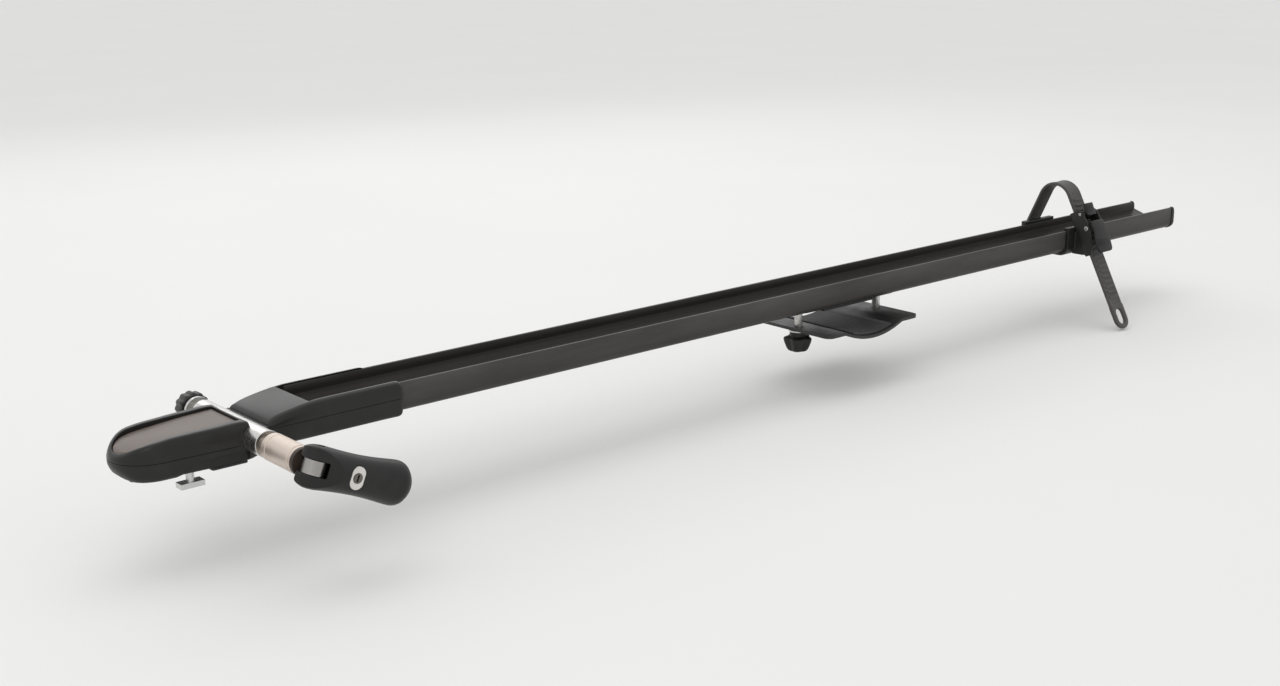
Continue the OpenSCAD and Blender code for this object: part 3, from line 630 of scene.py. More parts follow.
def head_base():
    """Lower half of the head: a boat-shaped hull with a round chine, cut for the tube, tray and fixings."""
    keel = [(-49.5, 12), (-48, 9.0), (-45, 5.0), (-42, 2.6), (-38.5, 1.35), (-35, 1.05), (-31.5, 1), (-11, 1),
            (-9, 2), (43.3, 2), (46, 2.6), (57, 6.8), (60.3, 7.5), (170, 7.5)]
    keel_x, keel_z = zip(*keel)

    def belly(x):
        return float(np.interp(x, keel_x, keel_z))

    # blank, in sections that run from a spine out to the side
    spine_x0, spine_x1 = -24.0, 150.0
    chine_r, chine_share, side_z, blank_z = 6.0, 0.7, 14.8, 26.0
    rings = []
    for ox, oy in plan_loop(NOSE_X, NOSE_R, head_half_width, HEAD_X1, 2.0, (76, 48, 24)):
        sx = min(max(ox, spine_x0), spine_x1)
        gap = math.hypot(sx - ox, oy)
        ex, ey = (sx - ox) / gap, -oy / gap
        r = min(chine_r, chine_share * (side_z - belly(ox)))
        inward = [(gap * f, 0.0) for f in (1.0, 0.85, 0.7, 0.55, 0.4)]
        inward += [(r * (1 - math.sin(a)), r * (1 - math.cos(a))) for a in quarter(8)]
        ring = [(ox + ex * d, oy + ey * d, belly(ox + ex * d) + lift) for d, lift in inward]
        ring += [(ox, oy, SPLIT_Z - SEAM), (ox, oy, blank_z), (sx, 0.0, blank_z)]
        rings.append(ring)
    count, size = len(rings), len(rings[0])
    points = [p for ring in rings for p in ring]
    faces = []
    for i in range(count):
        a, b = i * size, (i + 1) % count * size
        for k in range(size - 1):
            faces += [(a + k, a + k + 1, b + k + 1), (a + k, b + k + 1, b + k)]

    # cuts for the cover, the collar, the tube and the tray, and the hollows inside
    past, past_x, past_z, below, wall = 70, 180, 60, -3, 4
    cave_z, box_x0, box_x1, box_z, top_z = 8, 72.3, 96.8, 11.5, 40
    cave = [(x, head_half_width(x) - wall) for x in (20, 10, 0, -10, -20, -29.5)]
    cutters = [
        block(-past, CRADLE_X0 + 2 * SEAM, -past, past, SPLIT_Z, past_z),
        block(COLLAR_X0, past_x, -past, past, COLLAR_Z, past_z),
        block(30, 60, -past, past, CRADLE_Z, past_z),
        prism(disc(SKEWER_X, SKEWER_Z, TUBE_R + SEAM, 72), "y", -past, past),
        prism(tray_outline(TRAY_FIT), "x", TRAY_X0, past_x),
        prism(cave + [(x, -y) for x, y in reversed(cave)], "z", cave_z, top_z),
        block(box_x0, box_x1, wall - HEAD_Y, HEAD_Y - wall, box_z, top_z),
    ]

    # arches in the sides over the foot
    arch = [(41.3, below), (41.3, 10), (40.3, 11), (4, 11), (-1.5, 10.2), (-5.5, 8), (-8, 4.5), (-9, 0),
            (-9, below)]
    arch_y, arch_past = 27.75, 40

    # holes from below for tee bolts, set screws, head screws and tray bolts: x, y, radius, top and facets
    bolt_r, set_screw_r, screw_r = 3.2, 2.53, 3.9
    holes = [(0, 19, bolt_r, 11, 32), (SKEWER_X, 15, set_screw_r, 17.7, 32), (-36.5, 11, screw_r, 4.5, 40),
             (25, 20, screw_r, 5.3, 40), (65.3, 21, screw_r, 10.8, 40)]
    for s in (-1, 1):
        cutters.append(prism(arch, "y", *sorted((s * arch_y, s * arch_past))))
        cutters += [prism(disc(x, s * y, r, sides), "z", below, top) for x, y, r, top, sides in holes]
    cutters += [prism(disc(x, 0, bolt_r, 32), "z", below, 19) for x in (122, 154)]
    stand_in("base_hull", "head_base", carved(mesh_of((points, faces)), cutters), 42)


def tray_collar():
    """Hood over the front of the tray, swept up from the tube, with a ramp into the channel."""
    crest = [(57.3, 25.4), (57.6, 26.1), (58.2, 26.8), (59.2, 27.6), (61, 28.6), (64.3, 29.9), (70, 31.3),
             (76, 32.4), (82, 33.4), (90, 34.5), (100, 35.3), (110, 35.4), (125, 35.4), (140, 35.4),
             (155, 35.4), (165, 35.4), (167.6, 35.1), (169, 34.5), (169.7, 33.7), (170, 32.7)]
    low, side_z, shoulder_r = COLLAR_Z + SEAM, 23.6, 5.0
    end_round, end_reach = 0.9, 1.2
    rings = []
    for x, top in crest:
        end = min(x - COLLAR_X0, HEAD_X1 - x)
        half = HEAD_Y - end_round * max(0.0, 1 - end / end_reach) ** 2
        r = min(shoulder_r, top - side_z)
        right = [(0.0, low), (half - 0.8, low), (half - 0.25, low + 0.15), (half, low + 0.75)]
        right += [(half - r + r * math.cos(a), top - r + r * math.sin(a)) for a in quarter(8)]
        right.append((0.0, top))
        rings.append([(x, y, z) for y, z in right] + [(x, -y, z) for y, z in right[-2:0:-1]])
    past_x, ramp_y = 180, 25.1
    ramp = [(past_x, 21), (past_x, 45), (88.5, 45), (92.5, 36), (98.6, 22), (TRAY_X0, 21)]
    cutters = [prism(tray_outline(TRAY_FIT), "x", TRAY_X0, past_x), prism(ramp, "y", -ramp_y, ramp_y)]
    stand_in("collar_hood", "tray_collar", carved(mesh_of(skin(rings)), cutters), 42)


def access_lid():
    """Crowned panel let into the top of the head, with a turned-up front lip."""
    def side(x):
        return lid_half_width(x) - LID_GAP

    loop = plan_loop(LID_NOSE_X, LID_R - LID_GAP, side, LID_X1 - LID_GAP, 1.4)
    spine_x0, spine_x1 = LID_NOSE_X, LID_X1 - 16
    lip_x, lip_w, lip_h = -42.5, 2.0, 0.5
    # share of the way in to the spine, and height over the lid's line
    rows = [(0.0, -LID_T), (0.0, -0.55), (0.012, -0.22), (0.04, -0.04), (0.08, 0.03), (0.16, 0.16),
            (0.3, 0.36), (0.5, 0.58), (0.72, 0.72), (0.9, 0.79), (1.0, 0.8)]
    rings = []
    for f, lift in rows:
        ring = []
        for x, y in loop:
            sx = min(max(x, spine_x0), spine_x1)
            px, py = x + (sx - x) * f, y * (1 - f)
            lip = lip_h * math.exp(-((px - lip_x) / lip_w) ** 2) if lift > -0.1 else 0.0
            ring.append((px, py, lid_line(px) + lift + lip))
        rings.append(ring)
    points, faces = skin(rings, caps=False)
    faces.append(tuple(range(len(loop)))[::-1])
    stand_in("lid_panel", "access_lid", mesh_of((points, faces)), 50)


def tail_cap():
    """End plate of the tray with its rear corners rounded in the side view."""
    x, rx, rz = 1238.2, 4.8, 7.5
    low, high, past_x, past_y = 9.2, 34.8, 1250, 60
    top = [(x + rx * math.cos(a), high - rz + rz * math.sin(a)) for a in quarter(10)]
    top += [(x, 40), (past_x, 40), (past_x, high - rz)]
    foot = [(x + rx * math.sin(a), low + rz - rz * math.cos(a)) for a in quarter(10)]
    foot += [(past_x, low + rz), (past_x, 2), (x, 2)]
    cutters = [prism(corner, "y", -past_y, past_y) for corner in (top, foot)]
    softened("tail_cap", 0.6, carved(cad_mesh("tail_cap"), cutters))


# Fork clamp

def far_nut():
    """Hand nut at the skewer's far end: a hub, soft lobes, crowned faces and a countersunk mouth."""
    lobes, lobe_power, around = 12, 0.8, 144
    # place along y, radius and height of the lobes
    levels = [(61.05, 8.4, 0.0), (61.3, 8.85, 0.0), (61.8, 9.0, 0.0), (62.7, 9.0, 0.0), (63.0, 9.3, 0.0),
              (63.05, 10.2, 0.2), (63.3, 10.8, 0.6), (63.9, 11.1, 1.0), (65.0, 11.2, 1.1), (72.6, 11.1, 1.1),
              (73.8, 10.8, 0.95), (74.5, 10.2, 0.6), (74.85, 9.4, 0.25), (75.0, 8.2, 0.0), (75.0, 5.4, 0.0),
              (74.8, 4.9, 0.0), (73.4, 3.3, 0.0), (72.8, 3.04, 0.0), (61.4, 3.04, 0.0), (61.05, 3.4, 0.0)]
    rings = []
    for y, r, lobe in levels:
        ring = []
        for a in circle(around):
            reach = r + lobe * (0.5 + 0.5 * math.cos(lobes * a)) ** lobe_power
            ring.append((SKEWER_X + reach * math.cos(a), y, SKEWER_Z + reach * math.sin(a)))
        rings.append(ring)
    stand_in("far_nut_form", "far_nut", mesh_of(skin(rings, closed=True)))


def on_lever(x, y, z):
    """Place in the part's frame of a point given along the grip, out of it and along the cam pin."""
    c, s = math.cos(LEVER_SLOPE), math.sin(LEVER_SLOPE)
    return (SKEWER_X + x * c + z * s, PIN_Y + y, SKEWER_Z - x * s + z * c)


def placed(part):
    """Skin in the lever's frame, put in the part's frame."""
    return [on_lever(*p) for p in part[0]], part[1]


def cam_lever():
    """Waisted grip that runs into a forked cam, cut for the eye, the pin, the lock and the end cap."""
    grip = curve_through([(-10, 12.6), (-8, 13.7), (-5, 14.8), (0, 15.4), (8, 15.0), (15.3, 14.6),
                          (24.8, 14.25), (32.5, 14.2), (40.1, 14.4), (47.8, 14.85), (55, 15.45), (60, 15.9),
                          (64, 16.2), (67, 16.05), (69.2, 15.4), (70.4, 14.7), (71, 14.0)])
    top_x0, top_x1, low_x0, low_x1, free = 2.4, 22, -4, 20, 30.0
    above = curve_through([(top_x0, 11.3), (5, 10.9), (9, 10.9), (12, 11.3), (15, 12.5), (18, 14.2),
                           (top_x1, 17)])
    below = curve_through([(low_x0, -6.73), (-2, -7.7), (0, -8.6), (4, -10.2), (8, -11.7), (12, -13.4),
                           (16, -15.6), (low_x1, -18)])

    def limits(x):
        """Lowest and highest y at x: the cam's circle, then the two curves."""
        cam = math.sqrt(max(0.0, CAM_R**2 - x * x)) if x < top_x0 else 0.0
        top = CAM_E + cam if x < top_x0 else above(x) if x < top_x1 else free
        low = CAM_E - cam if x < low_x0 else below(x) if x < low_x1 else -free
        return low, top

    stations = [-CAM_R * math.cos(math.radians(4 * i)) for i in range(24)]
    stations += [0.8 + 1.2 * i for i in range(57)] + [69.2, 69.9, 70.5, 71.0]
    rings = []
    for x in stations:
        low, top = limits(x)
        ring = []
        for a in circle(96):
            y, z = grip(x) * math.cos(a), grip(x) * math.sin(a)
            ring.append((x, min(max(y, low), top), z))
        rings.append(ring)

    slot = filleted([(-25, 30, 1), (-25, -30, 1), (4, -30, 1), (5.2, -11, 3), (9, -3, 3), (9, 30, 1)])
    slot_z, pin_r, plug_r, cap_r, core_r = 5.3, 3.02, 3.55, 8.05, 5.0
    bezel_r, bezel_z, bezel_sides = 5.58, 2.7, 48
    bezel = []
    for i in range(bezel_sides):
        a = 2 * math.pi * (i + 0.5) / bezel_sides
        end_z = math.copysign(bezel_z, math.sin(a))
        bezel.append((LOCK_X + bezel_r * math.cos(a), end_z + bezel_r * math.sin(a)))
    cutters = [prism(slot, "z", -slot_z, slot_z), prism(disc(0, 0, pin_r, 40), "z", -40, 40),
               prism(bezel, "y", -31, -10.9), prism(disc(LOCK_X, 0, plug_r, 32), "y", -16, 4.3),
               prism(disc(0, 0, cap_r, 48), "x", 51, 91), prism(disc(0, 0, core_r, 32), "x", 37.5, 60)]
    mesh = carved(mesh_of(placed(skin(rings))), [placed(c) for c in cutters])
    stand_in("lever_grip", "cam_lever", moulded(mesh, 0.38, 12), 60)


# Wheel strap

def leg_point(s, n, w):
    """Point s down the strap's near leg, n out of it and w across it."""
    y = -ARCH_R * math.cos(LEAN) - math.sin(LEAN) * s - math.cos(LEAN) * n
    z = ARCH_Z + ARCH_R * math.sin(LEAN) - math.cos(LEAN) * s + math.sin(LEAN) * n
    return (STRAP_X + w, y, z)


def strap_point(u, n, w):
    """Point u along the strap from the top of the near leg: negative over the arch and down the far leg."""
    if u >= 0:
        return leg_point(u, n, w)
    if u > -ARCH_LEN:
        a = math.pi - LEAN + u / ARCH_R
        return (STRAP_X + w, (ARCH_R + n) * math.cos(a), ARCH_Z + (ARCH_R + n) * math.sin(a))
    s = -u - ARCH_LEN
    y = FAR_Y + math.sin(FAR_LEAN) * s + math.cos(FAR_LEAN) * n
    return (STRAP_X + w, y, FAR_Z - math.cos(FAR_LEAN) * s + math.sin(FAR_LEAN) * n)


LOOP_L = 27.0


def strap_ladder():
    """The strap's band: side rails, and ladder teeth down the near leg."""
    half, t = STRAP_W / 2, STRAP_T / 2
    tooth, pitch, first, last, arch_steps = 1.2, 6.0, 7.0, TAIL_L - 31, 30
    stations = [(-ARCH_LEN - ANCHOR_S + 4, 0.0), (-ARCH_LEN - 30, 0.0), (-ARCH_LEN, 0.0)]
    stations += [(-ARCH_LEN + ARCH_LEN * i / arch_steps, 0.0) for i in range(1, arch_steps + 1)]
    s = first
    while s < last:
        stations += [(s - 1.9, 0.0), (s - 1.5, tooth), (s + 0.5, tooth), (s + 1.9, 0.0)]
        s += pitch
    stations.append((TAIL_L - LOOP_L, 0.0))
    rings = []
    for u, h in stations:
        right = [(half - 3.9, t + h), (half - 3.2, t + 0.05), (half - 2.6, t + 0.35), (half - 1.2, t + 0.35),
                 (half - 0.6, t), (half - 0.15, t - 0.6), (half, t - 1.1), (half, -t + 0.8),
                 (half - 0.25, -t + 0.25), (half - 0.8, -t)]
        left = [(-w, n) for w, n in reversed(right)]
        rings.append([strap_point(u, n, w) for w, n in right + left])
    return skin(rings)


def strap_loop():
    """The loop at the tail's end: a ring between a slot and a rounded tab."""
    half, t = STRAP_W / 2, STRAP_T / 2
    slot_a, slot_b, slot_r = TAIL_L - 16.7, TAIL_L - 10.8, 5.8
    outer_a, outer_b = TAIL_L - LOOP_L - 1.5, TAIL_L - half
    tab, corner, corner_reach, corner_power = half + 0.2, 2.2, 2.5, 2.2
    arc, run = 20, 8
    turns = [math.pi * i / arc for i in range(arc + 1)]
    # outside and inside of the ring, both as (s, w): round end, one side, straight end, other side
    track = [(outer_b + tab * math.sin(a), tab * math.cos(a),
              slot_b + slot_r * math.sin(a), slot_r * math.cos(a)) for a in turns]
    track += [(outer_b + (outer_a + corner - outer_b) * i / run, -tab,
               slot_b + (slot_a - slot_b) * i / run, -slot_r) for i in range(1, run + 1)]
    for a in turns[1:]:
        draw_in = max(0.0, 1 - tab * (1 - abs(math.cos(a))) / corner_reach) ** corner_power
        track.append((outer_a + corner * draw_in, -tab * math.cos(a),
                      slot_a - slot_r * math.sin(a), -slot_r * math.cos(a)))
    track += [(outer_a + corner + (outer_b - outer_a - corner) * i / run, tab,
               slot_a + (slot_b - slot_a) * i / run, slot_r) for i in range(1, run)]
    # section of the ring: share of the way in, and place through the thickness
    low, high = -t - 0.15, t + 0.6
    edge = [(0.0, 0.8), (0.05, 0.25), (0.16, 0.0), (0.84, 0.0), (0.95, 0.25), (1.0, 0.8)]
    section = [(f, low + d) for f, d in edge] + [(f, high - d) for f, d in reversed(edge)]
    rings = [[leg_point(so + (si - so) * f, n, wo + (wi - wo) * f) for f, n in section]
             for so, wo, si, wi in track]
    return skin(rings, closed=True)


def strap_eye():
    """The moulded eye round the anchor pin."""
    half, bore, r = STRAP_W / 2, 2.6, 5.6
    y, z = FAR_Y + math.sin(FAR_LEAN) * ANCHOR_S, FAR_Z - math.cos(FAR_LEAN) * ANCHOR_S
    right = [(r, half - 0.6), (5.1, half), (3.0, half), (bore, half - 0.5)]
    profile = [(q, -w) for q, w in reversed(right)] + right
    rings = [[(STRAP_X + w, y + q * math.cos(a), z + q * math.sin(a)) for q, w in profile]
             for a in circle(40)]
    return skin(rings, closed=True)


def wheel_strap():
    """Rubber strap with a ladder of teeth, a slotted end loop and a moulded eye."""
    stand_in("strap_band", "wheel_strap", mesh_of(joined(strap_ladder(), strap_loop(), strap_eye())), 38)


def strap_slider():
    """Moulded clip round the tray, with the far end of its screw hole closed."""
    bend_y, bend_z, outer_r, inner_r = -20.5, 17, 10.55, 8
    bend = [math.radians(195 + 5 * i) for i in range(16)]
    corner = [(bend_y + outer_r * math.cos(a), bend_z + outer_r * math.sin(a)) for a in bend]
    corner += [(-14, 6.45), (-14, 9)]
    corner += [(bend_y + inner_r * math.cos(a), bend_z + inner_r * math.sin(a)) for a in reversed(bend)]
    heel = [(-39.5, 8.05), (-28.55, 8.05), (-28.55, 12.5), (-31.0, 13.2), (-36.5, 10.3)]
    half_w = 3
    fillers = [mesh_of(prism(o, "x", STRAP_X - half_w, STRAP_X + half_w)) for o in (corner, heel)]
    bm = bmesh.new()
    for mesh in (cad_mesh("strap_slider"), *fillers):
        bm.from_mesh(mesh)
        bpy.data.meshes.remove(mesh)
    clip = bpy.data.meshes.new("slider_clip")
    bm.to_mesh(clip)
    bm.free()
    stand_in("slider_clip", "strap_slider", moulded(clip, 0.5, 6), 60)


# Ratchet buckle, in the near leg's frame: s down the strap, n out of it, w across it

def ring_bar(s, n, r, bore, half_w, teeth=0):
    """Tube across the strap with broken edges; teeth notch its middle."""
    count = teeth * 4 if teeth else 40
    tooth_h, rim = 0.75, 2.0
    rings = []
    for i, a in enumerate(circle(count)):
        dip = tooth_h if teeth and i % 4 in (2, 3) else 0.0
        right = [(r - dip, half_w - rim - 0.05), (r, half_w - rim), (r, half_w - 0.4), (r - 0.4, half_w),
                 (bore + 0.3, half_w), (bore, half_w - 0.3)]
        profile = [(q, -w) for q, w in reversed(right)] + right
        rings.append([leg_point(s + q * math.cos(a), n + q * math.sin(a), w) for q, w in profile])
    return skin(rings, closed=True)


def blade(stations):
    """Skin through rounded sections (s, n, half width, half thickness)."""
    rings = []
    for s, n, half_w, half_t in stations:
        section = oblong(-half_w, half_w, -half_t, half_t, 0.95 * half_t, 4)
        rings.append([leg_point(s, n + v, u) for u, v in section])
    return skin(rings)


def across(outline, half_w, edge=0.3):
    """Bar across the strap of an outline in (s, n)."""
    return slab(outline, -half_w, half_w, edge, leg_point)


def ridge(s, n, half_w):
    """Grip rib across the strap."""
    return across([(s - 0.8, n - 0.5), (s + 0.8, n - 0.5), (s + 0.65, n + 0.25), (s + 0.25, n + 0.6),
                   (s - 0.25, n + 0.6), (s - 0.65, n + 0.25)], half_w, 0.25)


def buckle_base():
    """Back plate with two cheeks of flowing outline."""
    cheek = filleted([(70, -4.5, 2.6), (70, 2.6, 3.5), (62, 8, 8), (50, 12.2, 14), (42, 12.8, 14),
                      (26.5, 11.6, 9), (21.5, 9.6, 4), (20, 5.5, 4), (20, -4.5, 2.6)], 5)
    cheek_w, cheek_t, panel_in, panel_t = 13.05, 2.5, 1.2, 1.65
    parts = []
    for s in (-1, 1):
        w = s * cheek_w
        parts.append(slab(cheek, w - cheek_t / 2, w + cheek_t / 2, 0.55, leg_point))
        parts.append(slab(inset(cheek, panel_in), *sorted((w, w + s * panel_t)), 0.3, leg_point))
    plate = oblong(20, 70, -14.2, 14.2, 1.2)
    parts.append(slab(plate, -4.5, -2.0, 0.4, lambda s, w, n: leg_point(s, n, w)))
    stand_in("buckle_frame", "buckle_base", mesh_of(joined(*parts)))


def ratchet_lever():
    """Swept handle on a toothed barrel, with a flared tip and grip ribs."""
    handle = blade([(36.0, 14.9, 10.0, 0.4), (36.3, 14.9, 10.8, 1.1), (37.2, 15.0, 11.3, 1.5),
                    (44, 15.0, 11.4, 1.55), (49, 14.75, 11.4, 1.55), (51.5, 14.55, 11.8, 1.55),
                    (54, 14.3, 12.6, 1.55), (56.5, 14.05, 13.2, 1.55), (60, 13.65, 13.4, 1.55),
                    (64, 13.2, 13.4, 1.5), (67, 12.95, 13.2, 1.5), (69, 12.9, 12.7, 1.45),
                    (70.3, 12.95, 11.9, 1.4), (71.2, 13.05, 10.8, 1.3), (71.8, 13.15, 9.4, 1.0),
                    (72.1, 13.2, 7.6, 0.5)])
    saddle = across([(36.8, 13.8), (37.8, 12.1), (46.4, 12.1), (47.8, 13.8)], 11.2)
    ribs = [ridge(s, n, 10.6) for s, n in ((57.6, 15.48), (59.8, 15.22), (62.0, 14.97), (64.2, 14.7))]
    barrel = ring_bar(42, 9.2, 5.5, 2.56, 11.4, teeth=14)
    stand_in("ratchet_handle", "ratchet_lever", mesh_of(joined(handle, barrel, saddle, *ribs)))


def release_pawl():
    """Thumb pad over the strap's entry, with a tooth that reaches down to the strap."""
    pad = blade([(15.0, 12.75, 6.6, 0.35), (15.3, 12.65, 7.3, 0.95), (16.2, 12.4, 7.9, 1.3),
                 (18, 12.15, 8.0, 1.3), (20, 12.0, 8.0, 1.3), (22, 11.95, 8.0, 1.3), (24, 12.0, 8.0, 1.3),
                 (26, 12.1, 8.0, 1.3), (27.6, 12.3, 7.9, 1.25), (28.7, 12.45, 7.3, 0.95),
                 (29.0, 12.5, 6.6, 0.35)])
    heel = across([(22.2, 11.2), (23.2, 10.0), (26.8, 10.0), (27.8, 11.2)], 7.8)
    tooth = across([(25.2, 4.9), (25.7, 4.3), (30.6, 3.5), (31.0, 4.4), (28.3, 8.5)], 7.0)
    ribs = [ridge(s, 13.3, 6.2) for s in (17.6, 19.7, 21.8, 23.9)]
    barrel = ring_bar(25, 8, 3.3, 1.66, 11.4)
    stand_in("release_thumb", "release_pawl", mesh_of(joined(pad, heel, tooth, barrel, *ribs)))


# Clamp knobs and rubber pads

def clamp_knob(node, x):
    """Hand knob: a short neck over swept lobes that draw in towards the foot."""
    lobes, dip_power, around = 5, 1.3, 80
    # depth below the knob's top, radius and depth of the dips between lobes
    levels = [(0.0, 8.0, 0.0), (3.4, 8.0, 0.0), (4.2, 8.4, 0.2), (4.8, 9.8, 0.9), (5.3, 11.8, 1.8),
              (5.9, KNOB_R - 0.6, 2.5), (6.8, KNOB_R - 0.1, 2.8), (8.0, KNOB_R - 0.1, 2.8),
              (10.0, KNOB_R - 0.6, 2.7), (12.5, KNOB_R - 1.5, 2.5), (15.0, KNOB_R - 2.5, 2.2),
              (17.0, KNOB_R - 3.5, 1.9), (18.4, KNOB_R - 4.6, 1.4), (19.1, KNOB_R - 6.0, 0.8),
              (KNOB_L, KNOB_R - 8.0, 0.2)]
    bore_r, insert_r, insert_l = 4.45, 6.02, 15.0
    levels += [(KNOB_L - 0.3, bore_r, 0.0), (insert_l + 0.1, bore_r, 0.0), (insert_l, insert_r, 0.0),
               (0.0, insert_r, 0.0)]
    rings = []
    for depth, r, cut in levels:
        ring = []
        for a in circle(around):
            reach = r - cut * (0.5 - 0.5 * math.cos(lobes * a)) ** dip_power
            ring.append((x + reach * math.cos(a), reach * math.sin(a), KNOB_TOP - depth))
        rings.append(ring)
    stand_in(node + "_form", node, mesh_of(skin(rings, closed=True)), 38)


def bow(x):
    """Top of the bowed jaw plate."""
    u = (x - CLAMP_X) / (STUD_X[1] - BOW_END - CLAMP_X)
    return JAW_Z + (BOW_Z - JAW_Z) * (1 - u * u)


RIB_H, RIB_PITCH = 0.4, 3.0


def ribbed_sheet(name, node, x0, x1, half_y, low, high, rib_low=0.0, rib_high=0.0):
    """Rubber sheet along x with round edges and ribs across it."""
    # place along x, how much the round end draws in, and share of the rib's height
    stations = [(x0, 0.7, 0.0), (x0 + 0.25, 0.2, 0.0), (x0 + 0.8, 0.0, 0.0)]
    x = x0 + 2.2
    while x < x1 - 2.8:
        stations += [(x, 0.0, 0.0), (x + 0.35, 0.0, 1.0), (x + 1.15, 0.0, 1.0), (x + 1.5, 0.0, 0.0)]
        x += RIB_PITCH
    stations += [(x1 - 0.8, 0.0, 0.0), (x1 - 0.25, 0.2, 0.0), (x1, 0.7, 0.0)]
    rings = []
    for x, shrink, rib in stations:
        y, z0, z1 = half_y - shrink, low(x) + shrink * 0.8, high(x) - shrink * 0.8
        edge = [(y - 1.8, 0.0), (y - 0.5, 0.0), (y - 0.12, 0.15), (y, 0.5)]
        right = [(y - 2.2, z0 - rib_low * rib), *((v, z0 + d) for v, d in edge),
                 *((v, z1 - d) for v, d in reversed(edge)), (y - 2.2, z1 + rib_high * rib)]
        rings.append([(x, v, z) for v, z in right] + [(x, -v, z) for v, z in reversed(right)])
    stand_in(name, node, mesh_of(skin(rings)))


def rear_pad():
    """Rubber seat under the rear saddle, ribbed below."""
    ribbed_sheet("rear_pad_ribbed", "rear_seat_pad", CLAMP_X - 36.5, CLAMP_X + 36.5, 15.0,
                 lambda x: 5.0, lambda x: 7.45, rib_low=RIB_H)


def jaw_liner():
    """Rubber liner on the bowed jaw, ribbed above."""
    ribbed_sheet("jaw_liner_ribbed", "jaw_liner", CLAMP_X - 28.0, CLAMP_X + 28.0, 45.0,
                 lambda x: bow(x) + SEAM, lambda x: bow(x) + 2.0, rib_high=RIB_H)


def front_pad():
    """Cross-shaped rubber foot under the head, with ribs across its sole."""
    stem_x0, bar_x0, x1, stem_y, bar_y = -8, 14, 41.8, 9.5, 26.25
    parts = [slab(oblong(stem_x0, x1, -stem_y, stem_y, 2.0), -0.02, 1.95, 0.45),
             slab(oblong(bar_x0, x1, -bar_y, bar_y, 2.0), 0.0, 1.93, 0.45)]
    rib_x0, rib_w, ribs = -6.2, 1.4, 16
    for i in range(ribs):
        x = rib_x0 + RIB_PITCH * i
        half = 24.4 if x > bar_x0 + 0.5 else 7.8
        parts.append(slab(oblong(x, x + rib_w, -half, half, 0.6, 3), -RIB_H, 0.9, 0.3))
    stand_in("front_pad_ribbed", "front_seat_pad", mesh_of(joined(*parts)))


# Pieces

head_base()
nose_cover()
access_lid()
tray_collar()
tail_cap()
far_nut()
cam_lever()
front_pad()
rear_pad()
jaw_liner()
wheel_strap()
strap_slider()
buckle_base()
ratchet_lever()
release_pawl()
clamp_knob("knob_front", STUD_X[0])
clamp_knob("knob_back", STUD_X[1])

# Pieces that keep their CAD form, with the width of the round on their edges
SOFTENED = {
    "tray_channel": 0.5, "lever_end_cap": 0.4, "thrust_sleeve": 0.35, "thrust_washer": 0.4,
    "skewer_rod": 0.4, "lock_bezel": 0.45, "lock_plug": 0.2, "cam_pin": 0.4, "axle_tube": 0.4,
    "far_washer": 0.3, "rear_saddle": 0.5, "rear_jaw": 0.5, "jaw_washers": 0.25, "rear_stud_front": 0.4,
    "rear_stud_back": 0.4, "ratchet_pin": 0.5, "pawl_pin": 0.35, "strap_anchor_pin": 0.4,
    "buckle_screw": 0.2, "front_t_bolts": 0.35, "knob_front_insert": 0.3, "knob_back_insert": 0.3,
    "tray_bolts": 0.3, "tray_t_nut": 0.3, "head_screws": 0.2, "front_washers": 0.2, "front_nuts": 0.3,
    "tube_set_screws": 0.2,
}
for node, width in SOFTENED.items():
    softened(node, width)

spring = frame["nodes"]["sleeve_spring"]
spring.data.materials.clear()
spring.data.materials.append(FINISH["steel"])


# Camera, light and floor, in metres

scene = bpy.context.scene
scene.view_settings.view_transform = "Standard"

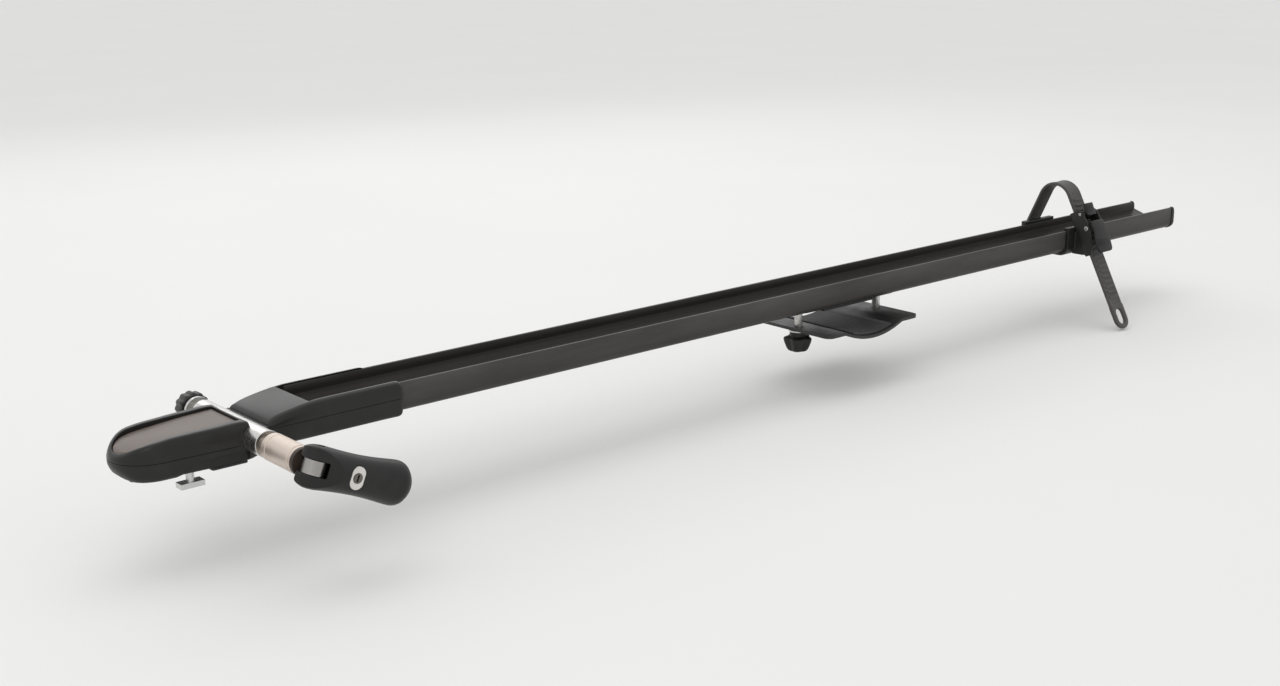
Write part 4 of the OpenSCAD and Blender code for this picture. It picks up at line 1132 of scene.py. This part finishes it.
CAMERA_AT = Vector((-0.4503, -1.0295, 0.3770))
AIM_YAW, AIM_PITCH, ROLL = math.radians(49.35), math.radians(15.09), math.radians(0.6)
LENS, SENSOR = 45.0, 36.0
camera = scene_object("camera", bpy.data.cameras.new("camera"))
camera.data.lens = LENS
camera.data.sensor_width = SENSOR
camera.data.clip_start, camera.data.clip_end = 0.01, 100
level = math.cos(AIM_PITCH)
ahead = Vector((math.cos(AIM_YAW) * level, math.sin(AIM_YAW) * level, -math.sin(AIM_PITCH)))
turn = ahead.to_track_quat("-Z", "Y").to_matrix().to_4x4() @ Matrix.Rotation(-ROLL, 4, "Z")
camera.matrix_world = Matrix.Translation(CAMERA_AT) @ turn
scene.camera = camera


def soft_box(name, at, aim, size, power):
    """Rectangular lamp at a place, turned towards a point."""
    lamp = bpy.data.lights.new(name, "AREA")
    lamp.shape = "RECTANGLE"
    lamp.size, lamp.size_y = size
    lamp.energy = power
    box = scene_object(name, lamp)
    box.location = at
    box.rotation_mode = "QUATERNION"
    box.rotation_quaternion = (Vector(aim) - Vector(at)).to_track_quat("-Z", "Y")


soft_box("overhead", at=(0.5, 0.3, 1.9), aim=(0.5, 0.0, 0.0), size=(2.4, 1.2), power=5.5)
soft_box("key", at=(-1.3, -1.2, 1.5), aim=(0.3, 0.0, 0.0), size=(1.2, 1.2), power=4.5)
soft_box("rim", at=(1.2, 1.8, 1.1), aim=(0.6, 0.0, 0.0), size=(2.4, 0.7), power=4.5)

WORLD_STRENGTH = 0.88
scene.world = bpy.data.worlds.new("studio")
scene.world.use_nodes = True
background = scene.world.node_tree.nodes["Background"]
background.inputs["Color"].default_value = (1, 1, 1, 1)
background.inputs["Strength"].default_value = WORLD_STRENGTH

FLOOR_DROP, FLOOR_HALF = 0.0015, 30.0
floor_z = cad_box[0].z - FLOOR_DROP
floor_mesh = bpy.data.meshes.new("floor")
sides = ((-1, -1), (1, -1), (1, 1), (-1, 1))
floor_mesh.from_pydata([(x * FLOOR_HALF, y * FLOOR_HALF, floor_z) for x, y in sides], [], [(0, 1, 2, 3)])
floor = scene_object("floor", floor_mesh)
pale = Nodes("floor_pale")
pale.feed("Base Color", pale.mix(pale.noise(3, 3), (0.80, 0.80, 0.79), (0.83, 0.83, 0.82)))
pale.set("Roughness", 0.85)
floor_mesh.materials.append(pale.material)
